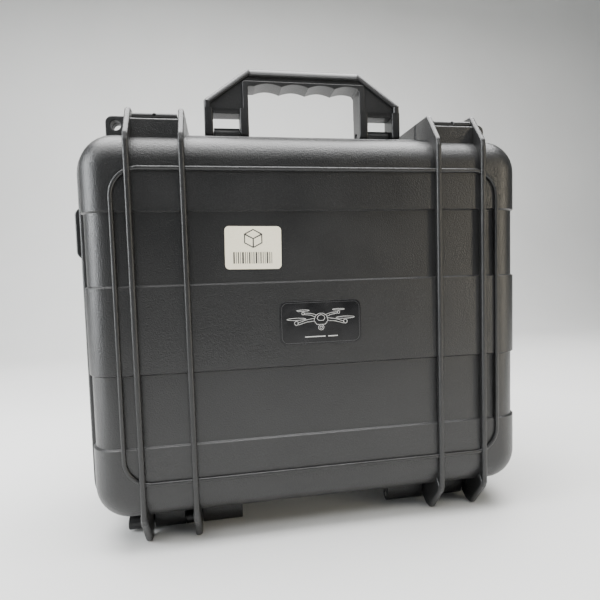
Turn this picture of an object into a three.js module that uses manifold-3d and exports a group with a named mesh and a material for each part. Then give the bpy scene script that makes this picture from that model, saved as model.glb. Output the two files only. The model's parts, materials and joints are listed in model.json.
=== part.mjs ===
// Hard carrying case for a folding camera drone: a moulded two-part shell with
// reinforcing ribs, two lever latches, a folding handle, a pinned hinge, foam and a gasket.
//
// Frame, in millimetres: the case stands on its hinge side, X runs across it, Y runs from
// the lid's face (-Y) to the base's back (+Y), and Z is up towards the handle. The origin is
// the centre of the footprint on the surface that the case stands on.
import * as THREE from "three";
import { mergeVertices } from "three/addons/utils/BufferGeometryUtils.js";
import Module from "manifold-3d";

const wasm = await Module();
wasm.setup();

// ---- driving dimensions -------------------------------------------------------------

const GAP = 0.3; // clearance between pieces that touch or run together

// Shells
const RIM_HALF_WIDTH = 166;
const RIM_BOTTOM = 16.5;
const RIM_TOP = 293.8;
const RIM_CORNER = 29;
const RIM_THICKNESS = 7;
const BODY_INSET = 4; // the walls stand this far inside the rim
const WALL = 4;
const LID_SIDE_WALL = 4.5; // thicker, to take the gasket's groove
const PART_Y = -27.5; // plane where lid and base meet
const LID_FACE_Y = -61.5;
const BASE_BACK_Y = 61.5;
const LID_ROUND = 20; // quarter round between side wall and face
const BASE_ROUND = 18;

// Face of the lid
const BEAD_HALF_WIDTH = 140;
const BEAD_BOTTOM = 47.5;
const BEAD_TOP = 265.5;
const BEAD_CORNER = 20;
const BEAD_WIDTH = 3;
const BEAD_HEIGHT = 2;
const BANDS = [[74.6, 125], [185.6, 235.5]]; // heights between which both shells are recessed
const STEP_DEPTH = 1.6;
const STEP_STOP = 10.5; // the recessed bands end this far from the parting plane

// Ribs: four upright hoops round the whole case
const RIB_X = [-127.1, -91.7, 91.7, 127.1];
const RIB_WIDTH = 4;
const RIB_CREST_Y = 65; // crest of the ribs, front and back
const FIN_TOP = 308; // top of the fins that guard the latches
const FOOT_START = 10; // feet begin this far from the parting plane

// Hinge
const HINGE_Z = 6;
const KNUCKLE_R = 4.75;
const HINGE_PIN_R = 1.8;
const HINGE_PIN_SPAN = [59, 144];
const LID_KNUCKLES = [[59, 89.3], [102.2, 124.7]];
const BASE_KNUCKLES = [[94.1, 101.8], [129.5, 144]];

// Latches
const LATCH_X = 109.4;
const LATCH_WIDTH = 30;
const LATCH_PIVOT = { y: 2, z: 299 };
const LATCH_FRONT_Y = -51;
const LATCH_BOTTOM = 299.9;
const LATCH_THICKNESS = 4;
const LATCH_PIN_R = 1.5;
const CATCH_TOP = 299.5;
const CATCH_Y = [-52.7, -49.2];

// Padlock eyes
const EYE_X = 138;
const EYE_Z = 299.5;
const EYE_HOLE_R = 3.5;

// Handle
const HANDLE_HALF_WIDTH = 76.4;
const HANDLE_TOP = 346.5;
const HANDLE_TOP_HALF_WIDTH = 43;
const HANDLE_SHOULDER = 322.5;
const HANDLE_Y = [-28.5, -9.7];
const WINDOW_HALF_WIDTH = 43.4;
const WINDOW_TOP = 332.4;
const FINGER_PITCH = 20.8;
const FINGER_DEPTH = 2.3;
const FINGER_SHIFT = 3; // the finger hollows sit a little right of centre
const HANDLE_PIVOT = { y: -17, z: 299.5 };
const HANDLE_FOOT = 295;
const LEG_SLOT_X = [50, 70];
const LEG_SLOT_TOP = 312.5;
const HANDLE_LUG_R = 4.5;
const HANDLE_PIN_R = 2;

// Foam
const FOAM_CLEARANCE = 1.5;
const PAD_FRONT_Y = 45;

// Pressure valve, on the base between the handle's legs
const VALVE_Y = -5;
const VALVE_R = 8;
const VALVE_HEIGHT = 3.2;

// Strap loops on the base's side walls
const LOOP_Y = -1.5;
const LOOP_Z = 226;
const LOOP_TALL = 39;
const LOOP_REACH = 14;
const LOOP_DEPTH = 14;
const LOOP_BAR = 4.5;

// ---- helpers -------------------------------------------------------------------------

const X_AXIS = new THREE.Vector3(1, 0, 0);
const Y_AXIS = new THREE.Vector3(0, 1, 0);
const Z_AXIS = new THREE.Vector3(0, 0, 1);

// A three.js geometry as a closed solid.
function toSolid(geometry) {
  const bare = geometry.clone();
  bare.deleteAttribute("normal");
  bare.deleteAttribute("uv");
  const merged = mergeVertices(bare, 1e-4);
  const mesh = new wasm.Mesh({
    numProp: 3,
    vertProperties: new Float32Array(merged.attributes.position.array),
    triVerts: new Uint32Array(merged.index.array),
  });
  return new wasm.Manifold(mesh);
}

function toGeometry(solid) {
  const mesh = solid.getMesh();
  const geometry = new THREE.BufferGeometry();
  geometry.setAttribute("position", new THREE.BufferAttribute(new Float32Array(mesh.vertProperties), 3));
  geometry.setIndex(new THREE.BufferAttribute(new Uint32Array(mesh.triVerts), 1));
  geometry.computeVertexNormals();
  return geometry;
}

const join = (...solids) => solids.reduce((whole, piece) => whole.add(piece));
const cut = (solid, ...tools) => tools.reduce((whole, tool) => whole.subtract(tool), solid);

// A box given by its lowest and highest corner.
function block(low, high) {
  const geometry = new THREE.BoxGeometry(high[0] - low[0], high[1] - low[1], high[2] - low[2]);
  geometry.translate((low[0] + high[0]) / 2, (low[1] + high[1]) / 2, (low[2] + high[2]) / 2);
  return toSolid(geometry);
}

// A shape swept from one end to the other. The outline is the widest section, and a bevel
// rounds both ends inside it.
function sweep(shape, from, to, basis, bevel, arcSteps) {
  const geometry = new THREE.ExtrudeGeometry(shape, {
    depth: to - from - 2 * bevel.size,
    curveSegments: arcSteps,
    bevelEnabled: bevel.size > 0,
    bevelThickness: bevel.size,
    bevelSize: bevel.size,
    bevelOffset: -bevel.size,
    bevelSegments: bevel.steps,
  });
  geometry.translate(0, 0, from + bevel.size);
  geometry.applyMatrix4(basis);
  return toSolid(geometry);
}

const NO_BEVEL = { size: 0, steps: 1 };

// A shape drawn in (x, z), grown along Y.
function alongY(shape, from, to, bevel = NO_BEVEL, arcSteps = 3) {
  const basis = new THREE.Matrix4().makeBasis(X_AXIS, Z_AXIS, Y_AXIS.clone().negate());
  return sweep(shape, -to, -from, basis, bevel, arcSteps);
}

// A shape drawn in (y, z), grown along X.
function alongX(shape, from, to, bevel = NO_BEVEL, arcSteps = 3) {
  const basis = new THREE.Matrix4().makeBasis(Y_AXIS, Z_AXIS, X_AXIS);
  return sweep(shape, from, to, basis, bevel, arcSteps);
}

// A round bar along X, from one x to the other.
function barX(radius, from, to, y, z, sides = 16) {
  const geometry = new THREE.CylinderGeometry(radius, radius, to - from, sides);
  geometry.rotateZ(Math.PI / 2);
  geometry.translate((from + to) / 2, y, z);
  return toSolid(geometry);
}

// A round bar along Y.
function barY(radius, from, to, x, z, sides = 16) {
  const geometry = new THREE.CylinderGeometry(radius, radius, to - from, sides);
  geometry.translate(x, (from + to) / 2, z);
  return toSolid(geometry);
}

// A turned piece about an upright axis, from (radius, height) pairs.
function turned(profile, x, y, z, sides = 24) {
  const points = profile.map(([radius, height]) => new THREE.Vector2(radius, height));
  const geometry = new THREE.LatheGeometry(points, sides);
  geometry.rotateX(Math.PI / 2);
  geometry.translate(x, y, z);
  return toSolid(geometry);
}

function polygon(points) {
  return new THREE.Shape(points.map(([u, v]) => new THREE.Vector2(u, v)));
}

function roundedRect(left, right, low, high, radius) {
  const shape = new THREE.Shape();
  shape.moveTo(left + radius, low);
  shape.lineTo(right - radius, low);
  shape.absarc(right - radius, low + radius, radius, -Math.PI / 2, 0);
  shape.lineTo(right, high - radius);
  shape.absarc(right - radius, high - radius, radius, 0, Math.PI / 2);
  shape.lineTo(left + radius, high);
  shape.absarc(left + radius, high - radius, radius, Math.PI / 2, Math.PI);
  shape.lineTo(left, low + radius);
  shape.absarc(left + radius, low + radius, radius, Math.PI, Math.PI * 1.5);
  return shape;
}

// The case's outline, moved in from the rim.
function outline(inset) {
  const half = RIM_HALF_WIDTH - inset;
  return roundedRect(-half, half, RIM_BOTTOM + inset, RIM_TOP - inset, RIM_CORNER - inset);
}

// A ring between two insets of the case's outline.
function outlineRing(outer, inner) {
  const shape = outline(outer);
  shape.holes.push(outline(inner));
  return shape;
}

const FAR = 400;
const inFrontOf = (y) => block([-FAR, -FAR, -FAR], [FAR, y, 2 * FAR]);
const behind = (y) => block([-FAR, y, -FAR], [FAR, FAR, 2 * FAR]);

// Half of the case as a full block: straight walls from the parting plane and a quarter
// round into the face.
function lidBlock(inset, faceY, round) {
  const bevel = { size: round, steps: 4 };
  return alongY(outline(inset), faceY, PART_Y + 2 * round, bevel).intersect(inFrontOf(PART_Y - GAP / 2));
}

function baseBlock(inset, backY, round) {
  const bevel = { size: round, steps: 4 };
  return alongY(outline(inset), PART_Y - 2 * round, backY, bevel).intersect(behind(PART_Y + GAP / 2));
}

const bothSides = [-1, 1];

// ---- features shared by lid and base ---------------------------------------------------

// The padlock eye beside the outer rib, one on each side.
function eyes(yFrom, yTo) {
  return bothSides.map((side) => {
    const near = side > 0 ? EYE_X - 9.5 : -EYE_X - 7;
    const far = side > 0 ? EYE_X + 7 : -EYE_X + 9.5;
    const plate = alongY(roundedRect(near, far, 280, EYE_Z + 6.5, 5), yFrom, yTo);
    return cut(plate, barY(EYE_HOLE_R, yFrom - 1, yTo + 1, side * EYE_X, EYE_Z));
  });
}

// Knuckles with the web that ties each to its shell. The web lies in front of the hinge axis
// on the lid (side -1) and behind it on the base (side +1).
function knuckles(spans, side) {
  const web = (from, to) => {
    const points = [[4.7, 0], [6, 5], [6, 15], [GAP / 2, 15], [GAP / 2, 0]];
    const shape = polygon(points.map(([out, up]) => [PART_Y + side * out, HINGE_Z + up]));
    return alongX(shape, from, to);
  };
  return bothSides.flatMap((mirror) =>
    spans.flatMap((span) => {
      const [from, to] = span.map((x) => mirror * x).sort((a, b) => a - b);
      return [barX(KNUCKLE_R, from, to, PART_Y, HINGE_Z), web(from, to)];
    }),
  );
}

function hingeBore() {
  return barX(HINGE_PIN_R + GAP, -RIM_HALF_WIDTH, RIM_HALF_WIDTH, PART_Y, HINGE_Z);
}

const LID_RIM_Y = PART_Y - GAP / 2;
const BASE_RIM_Y = PART_Y + GAP / 2;
const BODY_TOP = RIM_TOP - BODY_INSET;

// Every rib shares this rounded edge.
const RIB_BEVEL = { size: 1.2, steps: 2 };

function ribs(profile) {
  return RIB_X.map((x) => alongX(profile, x - RIB_WIDTH / 2, x + RIB_WIDTH / 2, RIB_BEVEL));
}

// What is cut away where both shells are recessed, on the face and round the side walls. The
// core is the shell's block at the depth of the recess.
function recessedBands(core, yFrom, yTo) {
  return BANDS.map(([low, high]) => block([-FAR, yFrom, low], [FAR, yTo, high]).subtract(core));
}

// ---- lid -------------------------------------------------------------------------------

function lidRibProfile() {
  return polygon([
    [LID_RIM_Y, HINGE_Z + 4.5],
    [LID_RIM_Y - 2, HINGE_Z + 3],
    [LID_RIM_Y - 3.4, HINGE_Z - 2],
    [PART_Y - FOOT_START, 0],
    [-46, 0],
    [-63, 21],
    [-RIB_CREST_Y, 25],
    [-RIB_CREST_Y, 282],
    [-64, 287],
    [-49, FIN_TOP - 2],
    [-46.5, FIN_TOP],
    [LID_RIM_Y, FIN_TOP],
  ]);
}

function lidBands() {
  const core = lidBlock(BODY_INSET + STEP_DEPTH, LID_FACE_Y + STEP_DEPTH, LID_ROUND - 1);
  return recessedBands(core, -FAR, PART_Y - STEP_STOP);
}

function bead() {
  const shape = roundedRect(-BEAD_HALF_WIDTH, BEAD_HALF_WIDTH, BEAD_BOTTOM, BEAD_TOP, BEAD_CORNER);
  const inner = roundedRect(
    BEAD_WIDTH - BEAD_HALF_WIDTH,
    BEAD_HALF_WIDTH - BEAD_WIDTH,
    BEAD_BOTTOM + BEAD_WIDTH,
    BEAD_TOP - BEAD_WIDTH,
    BEAD_CORNER - BEAD_WIDTH,
  );
  shape.holes.push(inner);
  return alongY(shape, LID_FACE_Y - BEAD_HEIGHT, LID_FACE_Y + 3);
}

// The space inside the lid, made smaller all round by a clearance.
function lidHollow(clearance) {
  const inside = outline(BODY_INSET + LID_SIDE_WALL + clearance);
  const bevel = { size: LID_ROUND - 5 - clearance, steps: 3 };
  return alongY(inside, LID_FACE_Y + WALL + clearance, PART_Y + 60, bevel);
}

// The wall that the latch reaches over, standing between two ribs.
function catches() {
  const half = LATCH_X - Math.abs(RIB_X[1]);
  return bothSides.map((side) => {
    const centre = side * LATCH_X;
    return block([centre - half, CATCH_Y[0], 270], [centre + half, CATCH_Y[1], CATCH_TOP]);
  });
}

// Corner of a gasket groove, shared with the gasket that lies in it.
const GROOVE = { outer: 3.2, inner: 6, depth: 2.6 };

function lidShell() {
  const flange = alongY(outline(0), LID_RIM_Y - RIM_THICKNESS, LID_RIM_Y);
  const outside = join(
    cut(lidBlock(BODY_INSET, LID_FACE_Y, LID_ROUND), ...lidBands()),
    flange,
    bead(),
    ...ribs(lidRibProfile()),
    ...catches(),
    ...eyes(LID_RIM_Y - RIM_THICKNESS, LID_RIM_Y),
    ...knuckles(LID_KNUCKLES, -1),
  );
  const groove = alongY(outlineRing(GROOVE.outer, GROOVE.inner), LID_RIM_Y - GROOVE.depth, PART_Y + 5);
  return cut(outside, lidHollow(0), groove, hingeBore());
}

function gasket() {
  const ring = outlineRing(GROOVE.outer + GAP, GROOVE.inner - GAP);
  return alongY(ring, LID_RIM_Y - GROOVE.depth + GAP, LID_RIM_Y);
}

function lidFoam() {
  return lidHollow(FOAM_CLEARANCE).intersect(inFrontOf(LID_RIM_Y - GAP));
}

// ---- base ------------------------------------------------------------------------------

function baseRibProfile() {
  return polygon([
    [BASE_RIM_Y, HINGE_Z + 4.5],
    [BASE_RIM_Y, FIN_TOP],
    [10, FIN_TOP],
    [24, 297],
    [50, 297],
    [60, 292],
    [RIB_CREST_Y, 282],
    [RIB_CREST_Y, 24],
    [62, 16],
    [52, 0],
    [PART_Y + FOOT_START, 0],
    [BASE_RIM_Y + 3.4, HINGE_Z - 2],
    [BASE_RIM_Y + 2, HINGE_Z + 3],
  ]);
}

// The space inside the base, made smaller all round by a clearance.
function baseHollow(clearance) {
  const inside = outline(BODY_INSET + WALL + clearance);
  const bevel = { size: BASE_ROUND - 3 - clearance, steps: 3 };
  return alongY(inside, PART_Y - 60, BASE_BACK_Y - WALL - clearance, bevel);
}

// The lug that each handle leg straddles.
function handleLugs() {
  const centre = (LEG_SLOT_X[0] + LEG_SLOT_X[1]) / 2;
  const half = (LEG_SLOT_X[1] - LEG_SLOT_X[0]) / 2 - GAP;
  return bothSides.flatMap((side) => {
    const from = side * centre - half;
    const to = side * centre + half;
    const { y, z } = HANDLE_PIVOT;
    const post = block([from, y - HANDLE_LUG_R, BODY_TOP - WALL / 2], [to, y + HANDLE_LUG_R, z]);
    return [post, barX(HANDLE_LUG_R, from, to, y, z)];
  });
}

function baseBands() {
  const core = baseBlock(BODY_INSET + STEP_DEPTH, BASE_BACK_Y - STEP_DEPTH, BASE_ROUND - 1);
  return recessedBands(core, PART_Y + STEP_STOP, FAR);
}

// The raised seat on each side wall that a strap loop is screwed to.
function loopSeats() {
  const reach = LOOP_DEPTH / 2 + 1.5;
  const low = LOOP_Z - LOOP_TALL / 2 - 1.5;
  const high = LOOP_Z + LOOP_TALL / 2 + 1.5;
  return bothSides.map((side) => {
    const [from, to] = [SIDE_WALL_X - WALL / 2, SIDE_WALL_X].map((x) => side * x).sort((a, b) => a - b);
    return block([from, LOOP_Y - reach, low], [to, LOOP_Y + reach, high]);
  });
}

function valveBore() {
  return turned([[0, -10], [4, -10], [4, 10], [0, 10]], 0, VALVE_Y, RIM_TOP, 16);
}

function baseShell() {
  const flange = alongY(outline(0), BASE_RIM_Y, BASE_RIM_Y + RIM_THICKNESS);
  const outside = join(
    cut(baseBlock(BODY_INSET, BASE_BACK_Y, BASE_ROUND), ...baseBands()),
    flange,
    ...ribs(baseRibProfile()),
    ...eyes(BASE_RIM_Y, BASE_RIM_Y + RIM_THICKNESS),
    ...knuckles(BASE_KNUCKLES, 1),
    ...handleLugs(),
    ...loopSeats(),
  );
  const latchBores = bothSides.map((side) => {
    const reach = LATCH_WIDTH / 2 + 8;
    const radius = LATCH_PIN_R + GAP;
    return barX(radius, side * LATCH_X - reach, side * LATCH_X + reach, LATCH_PIVOT.y, LATCH_PIVOT.z);
  });
  const handleBore = barX(
    HANDLE_PIN_R + GAP,
    -HANDLE_HALF_WIDTH,
    HANDLE_HALF_WIDTH,
    HANDLE_PIVOT.y,
    HANDLE_PIVOT.z,
  );
  const screwBores = screwPlaces().map(({ side, z }) => screwHole(side, z));
  return cut(outside, baseHollow(0), hingeBore(), ...latchBores, handleBore, valveBore(), ...screwBores);
}

// ---- foam in the base --------------------------------------------------------------------

// Pockets cut through the foam: [left, right, bottom, top].
const POCKETS = {
  drone: [-140, 52, 44, 148],
  controller: [-140, 22, 172, 262],
  battery_low: [74, 140, 44, 80],
  battery_middle: [74, 140, 92, 128],
  battery_high: [74, 140, 140, 176],
  charger: [50, 140, 196, 262],
};
const FINGER_R = 12;
const FINGER_BACK_Y = 20; // finger hollows reach only part of the way down beside a pocket

function baseInsert() {
  const slab = baseHollow(FOAM_CLEARANCE)
    .intersect(behind(BASE_RIM_Y + GAP))
    .intersect(inFrontOf(PAD_FRONT_Y - GAP));
  const pockets = Object.values(POCKETS).map(([left, right, low, high]) =>
    alongY(roundedRect(left, right, low, high, 6), -FAR, FAR, NO_BEVEL, 2),
  );
  const fingers = ["drone", "controller"].flatMap((name) => {
    const [left, right, low, high] = POCKETS[name];
    const middle = (left + right) / 2;
    return [low, high].map((z) => barY(FINGER_R, -FAR, FAR, middle, z, 16));
  });
  return cut(slab, ...pockets, ...fingers.map((bar) => bar.intersect(inFrontOf(FINGER_BACK_Y))));
}

function basePad() {
  return baseHollow(FOAM_CLEARANCE).intersect(behind(PAD_FRONT_Y));
}

// ---- hinge pins, latches, handle -----------------------------------------------------------

function hingePin(side) {
  const [from, to] = HINGE_PIN_SPAN.map((x) => side * x).sort((a, b) => a - b);
  return barX(HINGE_PIN_R, from, to, PART_Y, HINGE_Z, 12);
}

// A lever that pivots on a pin between two fins and reaches over the catch, with a rounded
// lip at the front to lift it by.
function latch(side) {
  const centre = side * LATCH_X;
  const from = centre - LATCH_WIDTH / 2;
  const to = centre + LATCH_WIDTH / 2;
  const { y, z } = LATCH_PIVOT;
  const top = LATCH_BOTTOM + LATCH_THICKNESS;
  const plate = alongX(
    polygon([
      [LATCH_FRONT_Y, LATCH_BOTTOM + 0.6],
      [LATCH_FRONT_Y + 1, LATCH_BOTTOM],
      [y, LATCH_BOTTOM],
      [y, top],
      [LATCH_FRONT_Y + 1.5, top],
      [LATCH_FRONT_Y, top - 1.5],
    ]),
    from,
    to,
  );
  const boss = barX(4.5, from, to, y, z);
  const rib = alongX(polygon([[-30, top - 1], [-6, top - 1], [-8, top + 1.8], [-28, top + 1.8]]), from + 4, to - 4);
  return cut(join(plate, boss, rib), barX(LATCH_PIN_R + GAP, from - 1, to + 1, y, z));
}

function latchPin(side) {
  const reach = LATCH_WIDTH / 2 + 4.4;
  return barX(LATCH_PIN_R, side * LATCH_X - reach, side * LATCH_X + reach, LATCH_PIVOT.y, LATCH_PIVOT.z, 12);
}

function handleOutline() {
  const shape = new THREE.Shape();
  shape.moveTo(HANDLE_HALF_WIDTH, HANDLE_FOOT);
  shape.lineTo(HANDLE_HALF_WIDTH, HANDLE_SHOULDER);
  shape.lineTo(HANDLE_TOP_HALF_WIDTH, HANDLE_TOP);
  shape.lineTo(-HANDLE_TOP_HALF_WIDTH, HANDLE_TOP);
  shape.lineTo(-HANDLE_HALF_WIDTH, HANDLE_SHOULDER);
  shape.lineTo(-HANDLE_HALF_WIDTH, HANDLE_FOOT);
  shape.lineTo(-WINDOW_HALF_WIDTH, HANDLE_FOOT);
  shape.lineTo(-WINDOW_HALF_WIDTH, WINDOW_TOP - 1);
  // four finger hollows under the grip
  const fingers = 4;
  const start = FINGER_SHIFT - (fingers / 2) * FINGER_PITCH;
  shape.lineTo(start, WINDOW_TOP);
  const stepsEach = 5;
  for (let i = 1; i <= fingers * stepsEach; i += 1) {
    const rise = Math.abs(Math.sin((Math.PI * i) / stepsEach)) * FINGER_DEPTH;
    shape.lineTo(start + (i * FINGER_PITCH) / stepsEach, WINDOW_TOP + rise);
  }
  shape.lineTo(WINDOW_HALF_WIDTH, WINDOW_TOP - 1);
  shape.lineTo(WINDOW_HALF_WIDTH, HANDLE_FOOT);
  return shape;
}

// The space a leg's foot must leave so that it swings clear of the case: all of it lies in
// front of the pivot or within a round of 6 mm about it.
function handleFootRelief() {
  const { y, z } = HANDLE_PIVOT;
  const corner = block([-FAR, y, HANDLE_FOOT - 5], [FAR, HANDLE_Y[1] + 5, z]);
  return corner.subtract(barX(6, -FAR, FAR, y, z, 20));
}

function handle() {
  const { y, z } = HANDLE_PIVOT;
  const body = alongY(handleOutline(), HANDLE_Y[0], HANDLE_Y[1], { size: 1.5, steps: 2 });
  const slots = bothSides.map((side) => {
    const [from, to] = LEG_SLOT_X.map((x) => side * x).sort((a, b) => a - b);
    return block([from, -FAR, HANDLE_FOOT - 5], [to, FAR, LEG_SLOT_TOP]);
  });
  const bore = barX(HANDLE_PIN_R + GAP, -HANDLE_HALF_WIDTH - 1, HANDLE_HALF_WIDTH + 1, y, z);
  return cut(body, ...slots, bore, handleFootRelief());
}

function handlePin(side) {
  const ends = [WINDOW_HALF_WIDTH + 1, HANDLE_HALF_WIDTH - 1];
  const [from, to] = ends.map((x) => side * x).sort((a, b) => a - b);
  return barX(HANDLE_PIN_R, from, to, HANDLE_PIVOT.y, HANDLE_PIVOT.z, 12);
}

// ---- pressure valve ------------------------------------------------------------------------

// A flanged bush through the wall. Its seat for the knob is a shallow cup.
function valveBody() {
  const low = BODY_TOP - WALL - 0.8;
  const seal = BODY_TOP + 1 + GAP;
  const profile = [
    [1, low],
    [3.6, low],
    [3.6, seal],
    [VALVE_R, seal],
    [VALVE_R, BODY_TOP + VALVE_HEIGHT],
    [6.5, BODY_TOP + VALVE_HEIGHT],
    [6.5, seal + 0.8],
    [1, seal + 0.8],
    [1, low],
  ];
  return turned(profile, 0, VALVE_Y, 0);
}

function valveSeal() {
  const low = BODY_TOP + 0.1;
  const high = BODY_TOP + 1;
  return turned([[5, low], [6.8, low], [6.8, high], [5, high], [5, low]], 0, VALVE_Y, 0);
}

// A slotted disc that turns in the bush.
function valveKnob() {
  const low = BODY_TOP + 1 + 0.8 + 2 * GAP;
  const high = BODY_TOP + VALVE_HEIGHT + 2.4;
  const disc = turned([[0, low], [6.1, low], [6.1, high - 0.8], [5.3, high], [0, high]], 0, VALVE_Y, 0);
  return cut(disc, block([-FAR, VALVE_Y - 0.9, high - 1.6], [FAR, VALVE_Y + 0.9, high + 5]));
}

// ---- strap loops -----------------------------------------------------------------------------

const SIDE_WALL_X = RIM_HALF_WIDTH - BODY_INSET;
const SCREW_R = 1.5;

function screwPlaces() {
  return bothSides.flatMap((side) =>
    [
      ["lower", -1],
      ["upper", 1],
    ].map(([name, up]) => ({ name, side, z: LOOP_Z + up * (LOOP_TALL / 2 - 3.6) })),
  );
}

function screwHole(side, z) {
  const depth = SIDE_WALL_X - WALL - 1;
  const [from, to] = [depth, SIDE_WALL_X + LOOP_BAR + 1].map((x) => side * x).sort((a, b) => a - b);
  return barX(SCREW_R + GAP, from, to, LOOP_Y, z, 12);
}

// A plate against the side wall with a D-shaped bar standing out of it, so that a strap
// passes through along Y.
function strapLoop(side) {
  const low = LOOP_Z - LOOP_TALL / 2;
  const high = LOOP_Z + LOOP_TALL / 2;
  const near = GAP / 2;
  const shape = new THREE.Shape();
  shape.moveTo(near, low);
  shape.lineTo(LOOP_REACH - 6, low);
  shape.absarc(LOOP_REACH - 6, low + 6, 6, -Math.PI / 2, 0);
  shape.absarc(LOOP_REACH - 6, high - 6, 6, 0, Math.PI / 2);
  shape.lineTo(near, high);
  const window = new THREE.Path();
  window.moveTo(near + 2.6, low + 7.2);
  window.lineTo(near + 2.6, high - 7.2);
  window.lineTo(LOOP_REACH - LOOP_BAR, high - 7.2);
  window.lineTo(LOOP_REACH - LOOP_BAR, low + 7.2);
  shape.holes.push(window);
  const loop = alongY(shape, LOOP_Y - LOOP_DEPTH / 2, LOOP_Y + LOOP_DEPTH / 2, { size: 1, steps: 1 });
  const placed = side > 0 ? loop : loop.mirror([1, 0, 0]);
  const screws = screwPlaces().filter((place) => place.side === side);
  const bores = screws.map(({ z }) => {
    const ends = [-1, LOOP_REACH + 1].map((x) => side * x).sort((a, b) => a - b);
    return barX(SCREW_R + GAP, ends[0], ends[1], LOOP_Y, z, 12);
  });
  const heads = screws.map(({ z }) => {
    const ends = [LOOP_REACH - 5, LOOP_REACH + 1].map((x) => side * x).sort((a, b) => a - b);
    return barX(3.2, ends[0], ends[1], LOOP_Y, z, 16);
  });
  return cut(placed, ...bores, ...heads).translate([side * SIDE_WALL_X, 0, 0]);
}

function strapScrew(side, z) {
  const span = (from, to) => [from, to].map((x) => side * (SIDE_WALL_X + x)).sort((a, b) => a - b);
  const [shankLow, shankHigh] = span(-WALL - 0.5, LOOP_REACH - 4);
  const [headLow, headHigh] = span(LOOP_REACH - 5 + GAP, LOOP_REACH - 2.6);
  return join(
    barX(SCREW_R, shankLow, shankHigh, LOOP_Y, z, 12),
    barX(2.8, headLow, headHigh, LOOP_Y, z, 16),
  );
}

// ---- labels ------------------------------------------------------------------------------------

const LABEL_GAP = 0.1;

function label(left, right, low, high, corner, backY, thickness) {
  return alongY(roundedRect(left, right, low, high, corner), backY - LABEL_GAP - thickness, backY - LABEL_GAP);
}

// ---- assembly ------------------------------------------------------------------------------------

const plastic = { color: 0x17181a, roughness: 0.42, metalness: 0 };
const steel = { color: 0x8b8d90, roughness: 0.3, metalness: 1 };
const rubber = { color: 0x0c0c0d, roughness: 0.8, metalness: 0 };
const foam = { color: 0x232427, roughness: 0.95, metalness: 0 };

const drone_case = new THREE.Group();

function add(name, solid, material) {
  const mesh = new THREE.Mesh(toGeometry(solid), new THREE.MeshStandardMaterial(material));
  mesh.name = name;
  drone_case.add(mesh);
}

add("base_shell", baseShell(), plastic);
add("base_foam_pad", basePad(), foam);
add("base_foam_insert", baseInsert(), foam);
add("lid_shell", lidShell(), plastic);
add("lid_gasket", gasket(), rubber);
add("lid_foam", lidFoam(), foam);
add("emblem_plate", label(-29, 30.5, 140.2, 171.5, 5.5, LID_FACE_Y, 0.6), plastic);
add("inventory_sticker", label(-65.5, -26, 195, 225, 3, LID_FACE_Y + STEP_DEPTH, 0.3), {
  color: 0xe9e7e2,
  roughness: 0.6,
  metalness: 0,
});
add("handle", handle(), plastic);
add("valve_body", valveBody(), plastic);
add("valve_seal", valveSeal(), rubber);
add("valve_knob", valveKnob(), plastic);
for (const [name, side] of [["left", -1], ["right", 1]]) {
  add(`hinge_pin_${name}`, hingePin(side), steel);
  add(`latch_${name}`, latch(side), plastic);
  add(`latch_pin_${name}`, latchPin(side), steel);
  add(`handle_pin_${name}`, handlePin(side), steel);
  add(`strap_loop_${name}`, strapLoop(side), plastic);
}
for (const { name, side, z } of screwPlaces()) {
  const sideName = side < 0 ? "left" : "right";
  add(`strap_screw_${sideName}_${name}`, strapScrew(side, z), steel);
}

export default drone_case;
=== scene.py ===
"""Looks of a hard drone carrying case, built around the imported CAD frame. Units are metres.

X runs across the case, Y from the lid's face (-Y) to the base's back, Z is up.
"""

import json
import math

import bmesh
import bpy
import numpy as np
from mathutils import Matrix, Vector


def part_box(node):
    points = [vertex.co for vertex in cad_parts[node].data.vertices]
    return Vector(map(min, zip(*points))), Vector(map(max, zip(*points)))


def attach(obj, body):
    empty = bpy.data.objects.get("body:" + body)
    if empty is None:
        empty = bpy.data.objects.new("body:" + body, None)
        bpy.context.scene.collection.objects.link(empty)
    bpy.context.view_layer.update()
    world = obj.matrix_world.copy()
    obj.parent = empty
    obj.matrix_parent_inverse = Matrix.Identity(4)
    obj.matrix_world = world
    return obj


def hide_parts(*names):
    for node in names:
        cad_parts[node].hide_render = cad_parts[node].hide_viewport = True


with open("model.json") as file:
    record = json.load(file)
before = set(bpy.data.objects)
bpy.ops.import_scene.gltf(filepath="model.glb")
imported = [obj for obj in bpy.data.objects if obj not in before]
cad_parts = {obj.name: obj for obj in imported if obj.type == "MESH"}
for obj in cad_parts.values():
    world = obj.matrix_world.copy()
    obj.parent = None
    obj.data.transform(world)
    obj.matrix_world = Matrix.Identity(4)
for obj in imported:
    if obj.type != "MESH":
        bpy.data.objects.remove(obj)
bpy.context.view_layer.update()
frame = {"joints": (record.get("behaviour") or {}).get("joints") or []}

# ---- sizes taken from the frame ----

LID_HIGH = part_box("lid_shell")[1]
BASE_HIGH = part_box("base_shell")[1]
GASKET_LOW, GASKET_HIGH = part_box("lid_gasket")
HANDLE_LOW, HANDLE_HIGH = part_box("handle")
JOINTS = {joint["name"]: joint for joint in frame["joints"]}
HINGE = Vector(JOINTS["lid_hinge"]["pos_m"])
HANDLE_PIVOT = Vector(JOINTS["handle_fold"]["pos_m"])
LATCH_PIVOT = Vector(JOINTS["latch_right_lift"]["pos_m"])

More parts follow.
